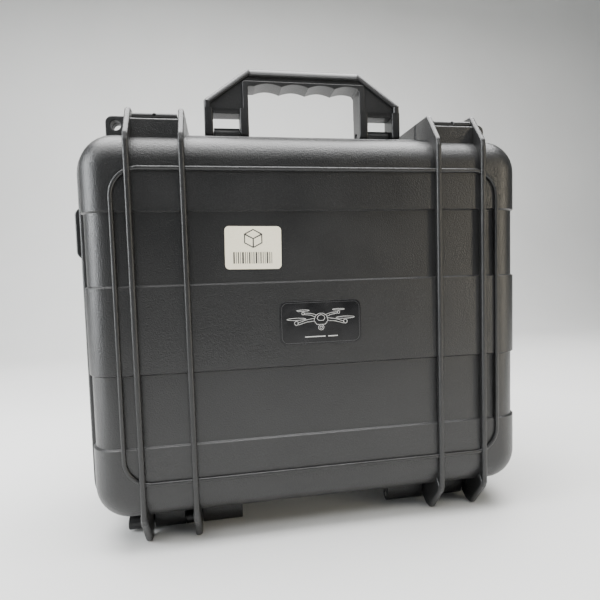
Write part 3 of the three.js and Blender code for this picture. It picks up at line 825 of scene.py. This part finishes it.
def handle_piece():
    """The moulded handle: a recessed web between a border and a rim round the window."""
    recess = 2.2 * MM
    rim = 4 * MM
    low = LEG_SPLIT
    outer = [(p.x, p.y) for p in (here + normal * 2.5 * MM for here, normal, _, _ in handle_path(low))]
    window = finger_line(low)
    web = slab([(outer + window)[::-1]], "xz", HANDLE_FRONT + recess, HANDLE_BACK - recess, 0.3 * MM)
    half, top = WINDOW_HALF + rim, WINDOW_TOP + 4 * MM
    around = filleted([(half, low, 0), (half, top, 1.6 * MM), (-half, top, 1.6 * MM), (-half, low, 0)], 5)
    window_rim = slab([around + window[::-1]], "xz", HANDLE_FRONT, HANDLE_BACK, 0.6 * MM, 3)
    pieces = [web, handle_border(low), window_rim]
    y, z = HANDLE_PIVOT.y, HANDLE_PIVOT.z
    side_view = filleted(
        [
            (HANDLE_FRONT, FOOT_Z, 3 * MM), (y, FOOT_Z, 0), (y + 2.2 * MM, z - 5.5 * MM, 1.5 * MM),
            (y + 5.2 * MM, z - 3 * MM, 2 * MM), (HANDLE_BACK, z + 1.5 * MM, 2 * MM),
            (HANDLE_BACK, LEG_SPLIT + 2 * MM, 0), (HANDLE_FRONT, LEG_SPLIT + 2 * MM, 0),
        ]
    )
    bore = arc(y, z, 2.25 * MM, 0, 345, 23)[::-1]
    for mirror in SIDES:
        for span in ((WINDOW_HALF, 50 * MM), (70 * MM, HANDLE_HALF)):
            start, end = sorted(mirror * x for x in span)
            pieces.append(slab([side_view, bore], "yz", start, end, 1.2 * MM, 3))
        bridge_from, bridge_to = sorted((mirror * 48 * MM, mirror * 72 * MM))
        front, back = HANDLE_FRONT + recess, HANDLE_BACK - recess
        bridge = rounded_rect(front, back, 312.5 * MM, LEG_SPLIT + 3 * MM, 0.6 * MM)
        pieces.append(slab([bridge], "yz", bridge_from, bridge_to))
    return join("carrying_handle", pieces)


# ---- latches, pins, valve, strap loops ----


LATCH_BOTTOM = 299.9 * MM
LATCH_THICK = 4 * MM
LATCH_BARREL = 4.5 * MM


def latch(mirror):
    """A lever: a hinge barrel at the back, a plate with grip ridges, a rounded lip in front."""
    low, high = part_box("latch_left" if mirror < 0 else "latch_right")
    y, z = LATCH_PIVOT.y, LATCH_PIVOT.z
    bottom, top = LATCH_BOTTOM, LATCH_BOTTOM + LATCH_THICK
    outline = filleted(
        [
            (low.y, bottom, 1.5 * MM), (y, bottom, 0), (y, top, 0), (low.y + 11 * MM, top, 2 * MM),
            (low.y + 6 * MM, top - 0.9 * MM, 2 * MM), (low.y, top, 1.9 * MM),
        ]
    )
    lever = slab([outline], "yz", low.x, high.x, 0.5 * MM, 3)
    middle = (low.x + high.x) / 2
    half_dip, dip_y = 2.2 * MM, low.y - 1 * MM
    dip = [(middle - half_dip, dip_y), (middle + half_dip, dip_y), (middle, low.y + 1.6 * MM)]
    subtract(lever, slab([dip], "xy", bottom + 1.2 * MM, top + 1 * MM))
    for start, end in ((-44 * MM, -28 * MM), (-24 * MM, -8 * MM)):
        hollow = rounded_rect(low.x + 3 * MM, high.x - 3 * MM, start, end, 2 * MM)
        subtract(lever, slab([hollow], "xy", bottom - 1 * MM, bottom + 1.6 * MM))
    pieces = [lever]
    ring = arc(y, z, LATCH_BARREL, 0, 352, 44)
    bore = arc(y, z, 1.75 * MM, 0, 345, 23)[::-1]
    pieces.append(slab([ring, bore], "yz", low.x, high.x, 0.5 * MM, 3))
    inset = 4 * MM
    panel = rounded_rect(low.x + inset, high.x - inset, -30 * MM, -6 * MM, 2 * MM)
    pieces.append(slab([panel], "xy", top - 1 * MM, top + 1.1 * MM, 0.6 * MM, 3))
    for k in range(6):
        at = -27 * MM + k * 3.6 * MM
        reach = inset + 2.5 * MM
        ridge = rounded_rect(low.x + reach, high.x - reach, at, at + 1.6 * MM, 0.7 * MM, 3)
        pieces.append(slab([ridge], "xy", top, high.z, 0.5 * MM, 2))
    return join("latch_lever_left" if mirror < 0 else "latch_lever_right", pieces)


def pin(node, name):
    low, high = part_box(node)
    radius = (high.z - low.z) / 2
    middle = ((low.y + high.y) / 2, (low.z + high.z) / 2)
    piece = rod(radius, "x", low.x, high.x, middle, 0.35 * MM)
    piece.name = name
    weighted(piece)
    return piece


def valve_body():
    low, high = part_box("valve_body")
    middle = (low.x + high.x) / 2, (low.y + high.y) / 2
    radius = (high.x - low.x) / 2
    flange = RIM_TOP - BODY_INSET + 1 * MM + GAP
    seat = flange + 0.8 * MM
    profile = [(1 * MM, low.z), (3.6 * MM, low.z), (3.6 * MM, flange)]
    profile += [(radius - 0.4 * MM, flange), (radius, flange + 0.4 * MM)]
    profile += arc(radius - 0.9 * MM, high.z - 0.9 * MM, 0.9 * MM, 0, 90, 4)
    profile += [(6.7 * MM, high.z), (6.5 * MM, high.z - 0.2 * MM), (6.5 * MM, seat)]
    profile += [(1 * MM, seat), (1 * MM, low.z)]
    body = lathe(profile, "z", (middle[0], middle[1], 0), 96)
    grips = []
    for k in range(12):
        angle = 2 * math.pi * k / 12
        x = middle[0] + (radius - 0.35 * MM) * math.cos(angle)
        y = middle[1] + (radius - 0.35 * MM) * math.sin(angle)
        grips.append(rod(0.55 * MM, "z", flange + 0.5 * MM, high.z - 0.8 * MM, (x, y), 0.2 * MM, 16))
    return join("valve_bush", [body] + grips)


def valve_knob():
    low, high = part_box("valve_knob")
    middle = (low.x + high.x) / 2, (low.y + high.y) / 2
    radius = (high.x - low.x) / 2
    profile = [(0, low.z), (radius - 0.2 * MM, low.z), (radius, low.z + 0.2 * MM)]
    profile += arc(radius - 0.9 * MM, high.z - 0.9 * MM, 0.9 * MM, 0, 90, 5) + [(0, high.z)]
    knob = lathe(profile, "z", (middle[0], middle[1], 0), 96)
    slot = rounded_rect(-8 * MM, 8 * MM, middle[1] - 0.9 * MM, middle[1] + 0.9 * MM, 0.3 * MM)
    tool = slab([slot], "xy", high.z - 1.6 * MM, high.z + 2 * MM)
    subtract(knob, tool)
    return join("valve_cap", [knob])


def seal_ring():
    low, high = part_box("valve_seal")
    middle = (low.x + high.x) / 2, (low.y + high.y) / 2
    tube = (high.z - low.z) / 2
    ring = (high.x - low.x) / 2 - tube
    profile = arc(ring, low.z + tube, tube, 0, 360, 16)
    profile[-1] = profile[0]
    piece = lathe(profile, "z", (middle[0], middle[1], 0), 64)
    piece.name = "valve_seal_ring"
    return piece


LOOP_REACH = 14 * MM
SCREW_HEAD_R = 3.2 * MM


def strap_loop(mirror):
    """A plate on the side wall with a D-shaped bar that a strap passes behind."""
    low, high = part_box("strap_loop_left" if mirror < 0 else "strap_loop_right")
    near, far = (low.x, high.x) if mirror > 0 else (high.x, low.x)
    corner = 6 * MM * 0.98
    at = lambda out: near + mirror * out
    outer = filleted(
        [
            (at(0), low.z, 0.3 * MM), (far, low.z, corner), (far, high.z, corner),
            (at(0), high.z, 0.3 * MM),
        ],
        8,
    )
    window = filleted(
        [
            (at(2.6 * MM), low.z + 7.2 * MM, 1.2 * MM),
            (at(LOOP_REACH - 4.5 * MM), low.z + 7.2 * MM, 1.6 * MM),
            (at(LOOP_REACH - 4.5 * MM), high.z - 7.2 * MM, 1.6 * MM),
            (at(2.6 * MM), high.z - 7.2 * MM, 1.2 * MM),
        ]
    )
    if mirror < 0:
        outer, window = outer[::-1], window[::-1]
    body = slab([outer, window[::-1]], "xz", low.y, high.y, 1.3 * MM, 4)
    middle_y = (low.y + high.y) / 2
    for z in (low.z + 3.6 * MM, high.z - 3.6 * MM):
        start, end = sorted((at(LOOP_REACH - 5 * MM), at(LOOP_REACH + 3 * MM)))
        subtract(body, rod(SCREW_HEAD_R, "x", start, end, (middle_y, z), 0.1 * MM, 32))
    return join("strap_loop_bracket_left" if mirror < 0 else "strap_loop_bracket_right", [body])


def screw(node, mirror):
    """A pan-head screw with a cross recess."""
    low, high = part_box(node)
    middle = ((low.y + high.y) / 2, (low.z + high.z) / 2)
    inner, outer = (low.x, high.x) if mirror > 0 else (high.x, low.x)
    head = (high.z - low.z) / 2
    at = lambda out: outer - mirror * out
    profile = [(0, 0), (head * 0.55, 0.05 * MM), (head * 0.9, 0.5 * MM), (head, 1.1 * MM)]
    length = abs(outer - inner)
    profile += [(head, 2.1 * MM), (1.5 * MM, 2.1 * MM), (1.5 * MM, length), (0, length)]
    profile = [(r, -mirror * a) for r, a in profile]
    body = lathe(profile, "x", (outer, middle[0], middle[1]), 40)
    start, end = sorted((at(0.9 * MM), at(-1 * MM)))
    for tall, wide in ((1.7 * MM, 0.35 * MM), (0.35 * MM, 1.7 * MM)):
        y, z = middle
        bar = rounded_rect(y - wide, y + wide, z - tall, z + tall, 0.1 * MM, 2)
        subtract(body, slab([bar], "yz", start, end))
    return join(node.replace("strap_screw", "loop_screw"), [body])


# ---- labels ----

LABEL_SKIN = 0.06 * MM


def ribbon(points, width, y, thick=LABEL_SKIN, closed=False):
    """A flat printed line in (x, z) lying on a label at y."""
    verts, faces = [], []
    count = len(points)
    for i, point in enumerate(points):
        here = Vector(point)
        before = Vector(points[i - 1]) if i or closed else here
        after = Vector(points[(i + 1) % count]) if i < count - 1 or closed else here
        along = (after - before).normalized()
        across = Vector((-along.y, along.x)) * width / 2
        for u, v in (here + across, here - across):
            verts += [(u, y, v), (u, y - thick, v)]
    last = count if closed else count - 1
    for i in range(last):
        a, b = 4 * i, 4 * ((i + 1) % count)
        faces += [(a + 1, b + 1, b + 3, a + 3), (a, a + 2, b + 2, b)]
        faces += [(a, b, b + 1, a + 1), (a + 2, a + 3, b + 3, b + 2)]
    if not closed:
        faces += [(0, 1, 3, 2), (4 * count - 4, 4 * count - 2, 4 * count - 1, 4 * count - 3)]
    return mesh_object("ribbon", verts, faces)


def quadcopter_drawing(x, z, y, size):
    """A simple front view of a four-rotor drone in thin lines, of this script's own design."""
    line = 0.32 * MM
    pieces = []

    def draw(points, closed=False, width=line):
        scaled = [(x + u * size, z + v * size) for u, v in points]
        pieces.append(ribbon(scaled, width, y, closed=closed))

    def ellipse(u, v, a, b, steps=40):
        turns = [2 * math.pi * k / steps for k in range(steps)]
        return [(u + a * math.cos(turn), v + b * math.sin(turn)) for turn in turns]

    hull = [(-0.2, 0.0), (-0.15, 0.13), (-0.05, 0.19), (0.05, 0.19)]
    hull += [(0.15, 0.13), (0.2, 0.0), (0.12, -0.12), (-0.12, -0.12)]
    draw(filleted([(u, v, 0.05) for u, v in hull], 5), True)
    draw(filleted([(u * 0.55, v * 0.5 + 0.05, 0.02) for u, v in hull], 4), True)
    draw(ellipse(0, -0.2, 0.075, 0.075), True)
    draw(ellipse(0, -0.2, 0.035, 0.035), True)
    for s in SIDES:
        front_arm = [(0.18, 0.06), (0.42, 0.02), (0.66, -0.06), (0.64, -0.11), (0.4, -0.04), (0.19, -0.02)]
        rear_arm = [(0.13, 0.15), (0.3, 0.2), (0.46, 0.21), (0.46, 0.17), (0.3, 0.15), (0.17, 0.1)]
        for arm in (front_arm, rear_arm):
            draw([(s * u, v) for u, v in arm], True)
        draw(ellipse(s * 0.69, -0.06, 0.055, 0.055, 24), True)
        draw(ellipse(s * 0.5, 0.2, 0.035, 0.035, 20), True)
        draw(ellipse(s * 0.69, 0.05, 0.26, 0.03), True)
        draw(ellipse(s * 0.5, 0.28, 0.17, 0.02), True)
    return pieces


def emblem():
    """A glossy black plate with a thin border, its drawing and two plain bars."""
    low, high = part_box("emblem_plate")
    outline = rounded_rect(low.x, high.x, low.z, high.z, 5.5 * MM, 10)
    plate = slab([outline], "xz", low.y + LABEL_SKIN, high.y, 0.2 * MM, 2)
    plate.name = "emblem_black_plate"
    weighted(plate)
    y = low.y + LABEL_SKIN
    middle_x, middle_z = (low.x + high.x) / 2, (low.z + high.z) / 2
    edge = 1.3 * MM
    border = rounded_rect(low.x + edge, high.x - edge, low.z + edge, high.z - edge, 4.4 * MM, 10)
    rim = join("emblem_border_line", [ribbon(border, 0.2 * MM, y, closed=True)])
    ink = quadcopter_drawing(middle_x, middle_z + 1.5 * MM, y, 26 * MM)
    for start, end in ((-12, 3), (5, 12)):
        at = middle_z - 10.2 * MM
        ink.append(ribbon([(middle_x + start * MM, at), (middle_x + end * MM, at)], 0.7 * MM, y))
    lines = join("emblem_line_drawing", ink)
    return plate, rim, lines


def sticker():
    """An off-white paper label with a box icon and a row of plain bars, no lettering."""
    low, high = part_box("inventory_sticker")
    middle = Vector(((low.x + high.x) / 2, 0, (low.z + high.z) / 2))
    turn = Matrix.Rotation(math.radians(0.9), 4, "Y")
    tilt = Matrix.Translation(middle) @ turn @ Matrix.Translation(-middle)
    inset = 0.1 * MM
    outline = rounded_rect(low.x + inset, high.x - inset, low.z + inset, high.z - inset, 3 * MM, 8)
    paper = slab([outline], "xz", low.y + LABEL_SKIN, high.y, 0.08 * MM, 2)
    paper.name = "inventory_sticker_paper"
    paper.data.transform(tilt)
    weighted(paper)
    y = low.y + LABEL_SKIN
    at = lambda u, v: (middle.x + u * MM, middle.z + v * MM)
    ink = []
    hexagon = [(0, 12.6), (6, 9.4), (6, 3.4), (0, 0.2), (-6, 3.4), (-6, 9.4)]
    ink.append(ribbon([at(*p) for p in hexagon], 0.9 * MM, y, closed=True))
    ink.append(ribbon([at(-6, 9.4), at(0, 6.3), at(6, 9.4)], 0.9 * MM, y))
    ink.append(ribbon([at(0, 6.3), at(0, 0.2)], 0.9 * MM, y))
    bars = [1.0, 0.4, 0.7, 0.4, 1.2, 0.5, 0.4, 0.9, 0.4, 0.6, 1.1, 0.4, 0.8, 0.5, 0.4, 1.0, 0.6, 0.4]
    u = -14.0
    for wide in bars:
        ink.append(ribbon([at(u + wide / 2, -11), at(u + wide / 2, -3)], wide * MM, y))
        u += wide + 0.9
    print_layer = join("inventory_sticker_print", ink)
    print_layer.data.transform(tilt)
    return paper, print_layer


# ---- materials ----


class Nodes:
    """Short ways to build one material's node tree."""

    def __init__(self, name):
        self.material = bpy.data.materials.new(name)
        self.material.use_nodes = True
        self.tree = self.material.node_tree
        self.shader = self.tree.nodes["Principled BSDF"]
        self.place = self.tree.nodes.new("ShaderNodeTexCoord").outputs["Object"]

    def new(self, kind, **values):
        node = self.tree.nodes.new(kind)
        for key, value in values.items():
            if key in node.inputs:
                node.inputs[key].default_value = value
            else:
                setattr(node, key, value)
        return node

    def link(self, source, target):
        self.tree.links.new(source, target)

    def noise(self, scale, detail=4.0, rough=0.5, stretch=None):
        node = self.new("ShaderNodeTexNoise")
        node.inputs["Scale"].default_value = scale
        node.inputs["Detail"].default_value = detail
        node.inputs["Roughness"].default_value = rough
        self.link(self.spread(stretch), node.inputs["Vector"])
        return node.outputs["Fac"]

    def cells(self, scale, feature="F1", stretch=None):
        node = self.new("ShaderNodeTexVoronoi", feature=feature)
        node.inputs["Scale"].default_value = scale
        self.link(self.spread(stretch), node.inputs["Vector"])
        return node.outputs["Distance"]

    def spread(self, stretch):
        if stretch is None:
            return self.place
        node = self.new("ShaderNodeMapping")
        node.inputs["Scale"].default_value = stretch
        self.link(self.place, node.inputs["Vector"])
        return node.outputs["Vector"]

    def ramp(self, source, low, high, start=0.0, end=1.0):
        """Maps source from [start, end] to [low, high], clamped."""
        node = self.new("ShaderNodeMapRange")
        node.inputs["From Min"].default_value = start
        node.inputs["From Max"].default_value = end
        node.inputs["To Min"].default_value = low
        node.inputs["To Max"].default_value = high
        self.link(source, node.inputs["Value"])
        return node.outputs["Result"]

    def window(self, source, start, end):
        return self.ramp(source, 0.0, 1.0, start, end)

    def mix(self, factor, a, b):
        """Blends two colours, each given as a tuple or a socket."""
        node = self.new("ShaderNodeMix", data_type="RGBA")
        self.link(factor, node.inputs["Factor"])
        for value, socket in ((a, node.inputs[6]), (b, node.inputs[7])):
            if isinstance(value, tuple):
                socket.default_value = (*value, 1)
            else:
                self.link(value, socket)
        return node.outputs[2]

    def math(self, operation, a, b):
        node = self.new("ShaderNodeMath", operation=operation)
        for value, socket in ((a, node.inputs[0]), (b, node.inputs[1])):
            if isinstance(value, (int, float)):
                socket.default_value = value
            else:
                self.link(value, socket)
        return node.outputs[0]

    def bump(self, height, strength, distance, below=None):
        node = self.new("ShaderNodeBump")
        node.inputs["Strength"].default_value = strength
        node.inputs["Distance"].default_value = distance
        self.link(height, node.inputs["Height"])
        if below is not None:
            self.link(below, node.inputs["Normal"])
        return node.outputs["Normal"]

    def finish(self, colour=None, rough=None, normal=None):
        for value, name in ((colour, "Base Color"), (rough, "Roughness"), (normal, "Normal")):
            if value is not None:
                self.link(value, self.shader.inputs[name])
        return self.material


def moulded_plastic(name, dark, light, rough_low, rough_high, grain):
    """Black moulded polypropylene: a pebbled grain, faint flow mottling, painted glint specks, rubbed and
    dusty patches.
    """
    n = Nodes(name)
    mottle = n.window(n.noise(30, 2, 0.4), 0.2, 0.8)
    cloud = n.window(n.noise(9, 3, 0.5), 0.35, 0.7)
    specks = n.window(n.noise(900, 2, 0.6), 0.68, 0.8)
    dust = n.math("MULTIPLY", specks, n.math("MULTIPLY", cloud, 0.25))
    base = n.mix(mottle, dark, light)
    # painted glints: fine light-grey specks mixed into the colour stand in for light sparkling off the
    # grain
    painted_glint = n.ramp(n.noise(1700, 2, 0.7), 0.0, 0.35, 0.5, 0.72)
    base_with_painted_glints = n.mix(painted_glint, base, (0.045, 0.045, 0.046))
    colour = n.mix(dust, base_with_painted_glints, (0.12, 0.115, 0.11))
    scratch = n.window(n.noise(60, 4, 0.6, (1.0, 1.0, 14.0)), 0.45, 0.85)
    smooth = n.ramp(mottle, rough_low, rough_high)
    rough = n.math("ADD", smooth, n.math("MULTIPLY", scratch, 0.012))
    rough = n.math("ADD", rough, n.math("MULTIPLY", dust, 0.12))
    pebble = n.noise(1100, 2, 0.5)
    fine = n.noise(2600, 3, 0.6)
    height = n.math("ADD", n.math("MULTIPLY", pebble, 1.0), n.math("MULTIPLY", fine, 0.4))
    grain_normal = n.bump(height, grain, 0.0003)
    wave = n.noise(20, 2, 0.4)
    normal = n.bump(wave, 0.1, 0.001, grain_normal)
    return n.finish(colour, rough, normal)


def steel_material():
    """Turned steel pins with fine rings, slightly dulled."""
    n = Nodes("turned_steel")
    n.shader.inputs["Metallic"].default_value = 1.0
    rings = n.noise(2600, 3, 0.6, (1.0, 0.05, 0.05))
    dull = n.window(n.noise(140, 4, 0.6), 0.4, 0.7)
    colour = n.mix(dull, (0.46, 0.46, 0.47), (0.3, 0.29, 0.28))
    rough = n.math("ADD", n.ramp(rings, 0.22, 0.34), n.math("MULTIPLY", dull, 0.12))
    return n.finish(colour, rough, n.bump(rings, 0.25, 0.00005))


def rubber_material():
    n = Nodes("seal_rubber_black")
    cloud = n.window(n.noise(70, 4, 0.55), 0.35, 0.7)
    colour = n.mix(cloud, (0.016, 0.016, 0.017), (0.034, 0.033, 0.032))
    rough = n.ramp(cloud, 0.62, 0.78)
    return n.finish(colour, rough, n.bump(n.noise(1800, 3, 0.6), 0.35, 0.0001))


def foam_material():
    """Charcoal open-cell foam: pores of about a millimetre in a fuzzy matt surface, with painted shade
    darkening each pore.
    """
    n = Nodes("charcoal_foam")
    pores = n.cells(900)
    large = n.cells(320)
    fuzz = n.noise(2400, 3, 0.7)
    # painted shade: each pore's hollow is coloured darker where light would fall off inside it
    hollow = n.window(pores, 0.12, 0.55)
    cloud = n.noise(24, 3, 0.5)
    base = n.mix(hollow, (0.012, 0.012, 0.014), (0.05, 0.05, 0.054))
    colour = n.mix(n.ramp(cloud, 0.0, 0.5, 0.35, 0.7), base, (0.066, 0.066, 0.07))
    height = n.math("ADD", n.math("MULTIPLY", pores, 0.8), n.math("MULTIPLY", large, 0.5))
    height = n.math("ADD", height, n.math("MULTIPLY", fuzz, 0.3))
    n.shader.inputs["Sheen Weight"].default_value = 0.25
    n.shader.inputs["Roughness"].default_value = 0.95
    return n.finish(colour, None, n.bump(height, 0.9, 0.0006))


def label_material():
    n = Nodes("gloss_black_label")
    smear = n.window(n.noise(90, 5, 0.6), 0.4, 0.72)
    colour = n.mix(smear, (0.0035, 0.0035, 0.004), (0.008, 0.008, 0.009))
    rough = n.ramp(smear, 0.16, 0.3)
    return n.finish(colour, rough, n.bump(n.noise(300, 2, 0.4), 0.06, 0.0002))


def paper_material():
    n = Nodes("sticker_paper")
    fibre = n.noise(700, 5, 0.7)
    cloud = n.window(n.noise(60, 3, 0.5), 0.35, 0.7)
    base = n.mix(n.window(fibre, 0.35, 0.7), (0.8, 0.75, 0.59), (0.87, 0.82, 0.66))
    colour = n.mix(n.math("MULTIPLY", cloud, 0.3), base, (0.76, 0.7, 0.53))
    rough = n.ramp(fibre, 0.42, 0.6)
    return n.finish(colour, rough, n.bump(fibre, 0.2, 0.00008))


def ink_material(name, colour, rough):
    n = Nodes(name)
    patch = n.window(n.noise(1600, 4, 0.7), 0.35, 0.75)
    lighter = tuple(min(1.0, c * 0.85 + 0.03) for c in colour)
    return n.finish(n.mix(patch, colour, lighter), n.ramp(patch, rough, rough + 0.12))


def dress(piece, material, slot, body, *nodes):
    """Gives a piece its material, its body and the nodes it stands for."""
    piece.data.materials.clear()
    piece.data.materials.append(material)
    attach(piece, body)
    if nodes:
        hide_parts(*nodes)
    return piece


def build_case():
    dark, light = (0.0065, 0.0066, 0.0068), (0.0115, 0.0115, 0.0117)
    shell = moulded_plastic("case_plastic", dark, light, 0.27, 0.34, 0.85)
    dark, light = (0.006, 0.0061, 0.0064), (0.0105, 0.0106, 0.011)
    grip = moulded_plastic("handle_plastic", dark, light, 0.27, 0.35, 0.3)
    cap = moulded_plastic("valve_plastic", (0.012, 0.012, 0.0124), (0.02, 0.02, 0.0205), 0.4, 0.5, 0.3)
    steel = steel_material()
    rubber = rubber_material()
    foam = foam_material()

    dress(lid_shell(), shell, "shell_plastic", "lid", "lid_shell")
    dress(base_shell(), shell, "shell_plastic", "base", "base_shell")
    seal = gasket()
    seal.name = "lid_gasket_seal"
    dress(seal, rubber, "seal_rubber", "lid", "lid_gasket")
    crate = dress(egg_crate_foam(), foam, "foam", "lid", "lid_foam")
    insert = dress(cut_foam(), foam, "foam", "base", "base_foam_insert")
    pad = dress(foam_pad(), foam, "foam", "base", "base_foam_pad")
    dress(handle_piece(), grip, "shell_plastic", "handle", "handle")
    dress(valve_body(), cap, "valve_plastic", "base", "valve_body")
    dress(valve_knob(), cap, "valve_plastic", "valve_knob", "valve_knob")
    dress(seal_ring(), rubber, "seal_rubber", "base", "valve_seal")
    for name, mirror in (("left", -1), ("right", 1)):
        dress(latch(mirror), grip, "shell_plastic", f"latch_{name}", f"latch_{name}")
        dress(strap_loop(mirror), grip, "shell_plastic", "base", f"strap_loop_{name}")
        for kind in ("hinge", "latch", "handle"):
            node = f"{kind}_pin_{name}"
            dress(pin(node, f"{kind}_pin_steel_{name}"), steel, "steel", "base", node)
        for place in ("lower", "upper"):
            node = f"strap_screw_{name}_{place}"
            dress(screw(node, mirror), steel, "steel", "base", node)

    plate, rim, lines = emblem()
    dress(plate, label_material(), "emblem", "lid", "emblem_plate")
    dress(rim, ink_material("grey_ink", (0.05, 0.05, 0.052), 0.35), "emblem", "lid")
    dress(lines, ink_material("white_ink", (0.5, 0.5, 0.49), 0.4), "emblem", "lid")
    paper, print_layer = sticker()
    dress(paper, paper_material(), "sticker", "lid", "inventory_sticker")
    dress(print_layer, ink_material("black_ink", (0.012, 0.012, 0.013), 0.45), "sticker", "lid")


# ---- stage, light and camera ----


def stage():
    """A plain pale floor that curves up into a backdrop."""
    wide, front, back, tall, bend = 3.0, -2.2, 1.3, 2.4, 0.5
    curve = arc(0, 0, bend, -90, 0, 16)
    profile = [(front, 0.0), (0.0, 0.0)] + [(back - bend + u, bend + v) for u, v in curve]
    profile.append((back, tall))
    verts = [(side * wide, y, z - 0.0002) for y, z in profile for side in SIDES]
    faces = [(2 * i, 2 * i + 1, 2 * i + 3, 2 * i + 2) for i in range(len(profile) - 1)]
    floor = mesh_object("floor", verts, faces)
    for polygon in floor.data.polygons:
        polygon.use_smooth = True
    n = Nodes("pale_floor")
    cloud = n.noise(3, 3, 0.5)
    colour = n.mix(n.window(cloud, 0.3, 0.7), (0.62, 0.62, 0.61), (0.66, 0.66, 0.65))
    n.shader.inputs["Roughness"].default_value = 0.75
    floor.data.materials.append(n.finish(colour))


def area_light(name, place, target, size, power, colour=(1, 1, 1)):
    data = bpy.data.lights.new(name, "AREA")
    data.shape = "RECTANGLE"
    data.size, data.size_y = size
    data.energy = power
    data.color = colour
    lamp = linked(name, data)
    lamp.location = place
    lamp.rotation_euler = (Vector(target) - Vector(place)).to_track_quat("-Z", "Y").to_euler()


def lights():
    centre = (0, -0.03, 0.16)
    area_light("overhead_soft", (0, 0.05, 1.15), (0, 0.05, 0), (1.5, 0.9), 56)
    area_light("front_top", (-0.1, -0.75, 1.1), centre, (1.4, 0.35), 8)
    area_light("left_window", (-1.2, -0.2, 0.5), centre, (0.45, 0.9), 24, (0.95, 0.98, 1.0))
    area_light("right_warm", (1.0, -0.75, 0.3), centre, (0.2, 0.7), 6, (1.0, 0.9, 0.7))
    world = bpy.data.worlds.new("studio")
    world.use_nodes = True
    world.node_tree.nodes["Background"].inputs["Color"].default_value = (0.8, 0.86, 0.9, 1)
    world.node_tree.nodes["Background"].inputs["Strength"].default_value = 0.18
    bpy.context.scene.world = world


CAMERA_PLACE = (-0.0701, -0.3874, 0.1928)
CAMERA_TURN = (86.447, 1.647, -9.861)
CAMERA_LENS = 27.95


def camera():
    data = bpy.data.cameras.new("camera")
    data.lens = CAMERA_LENS
    data.sensor_width = 36
    data.clip_start = 0.01
    eye = linked("camera", data)
    eye.location = CAMERA_PLACE
    eye.rotation_euler = [math.radians(angle) for angle in CAMERA_TURN]
    bpy.context.scene.camera = eye


camera()
build_case()
stage()
lights()
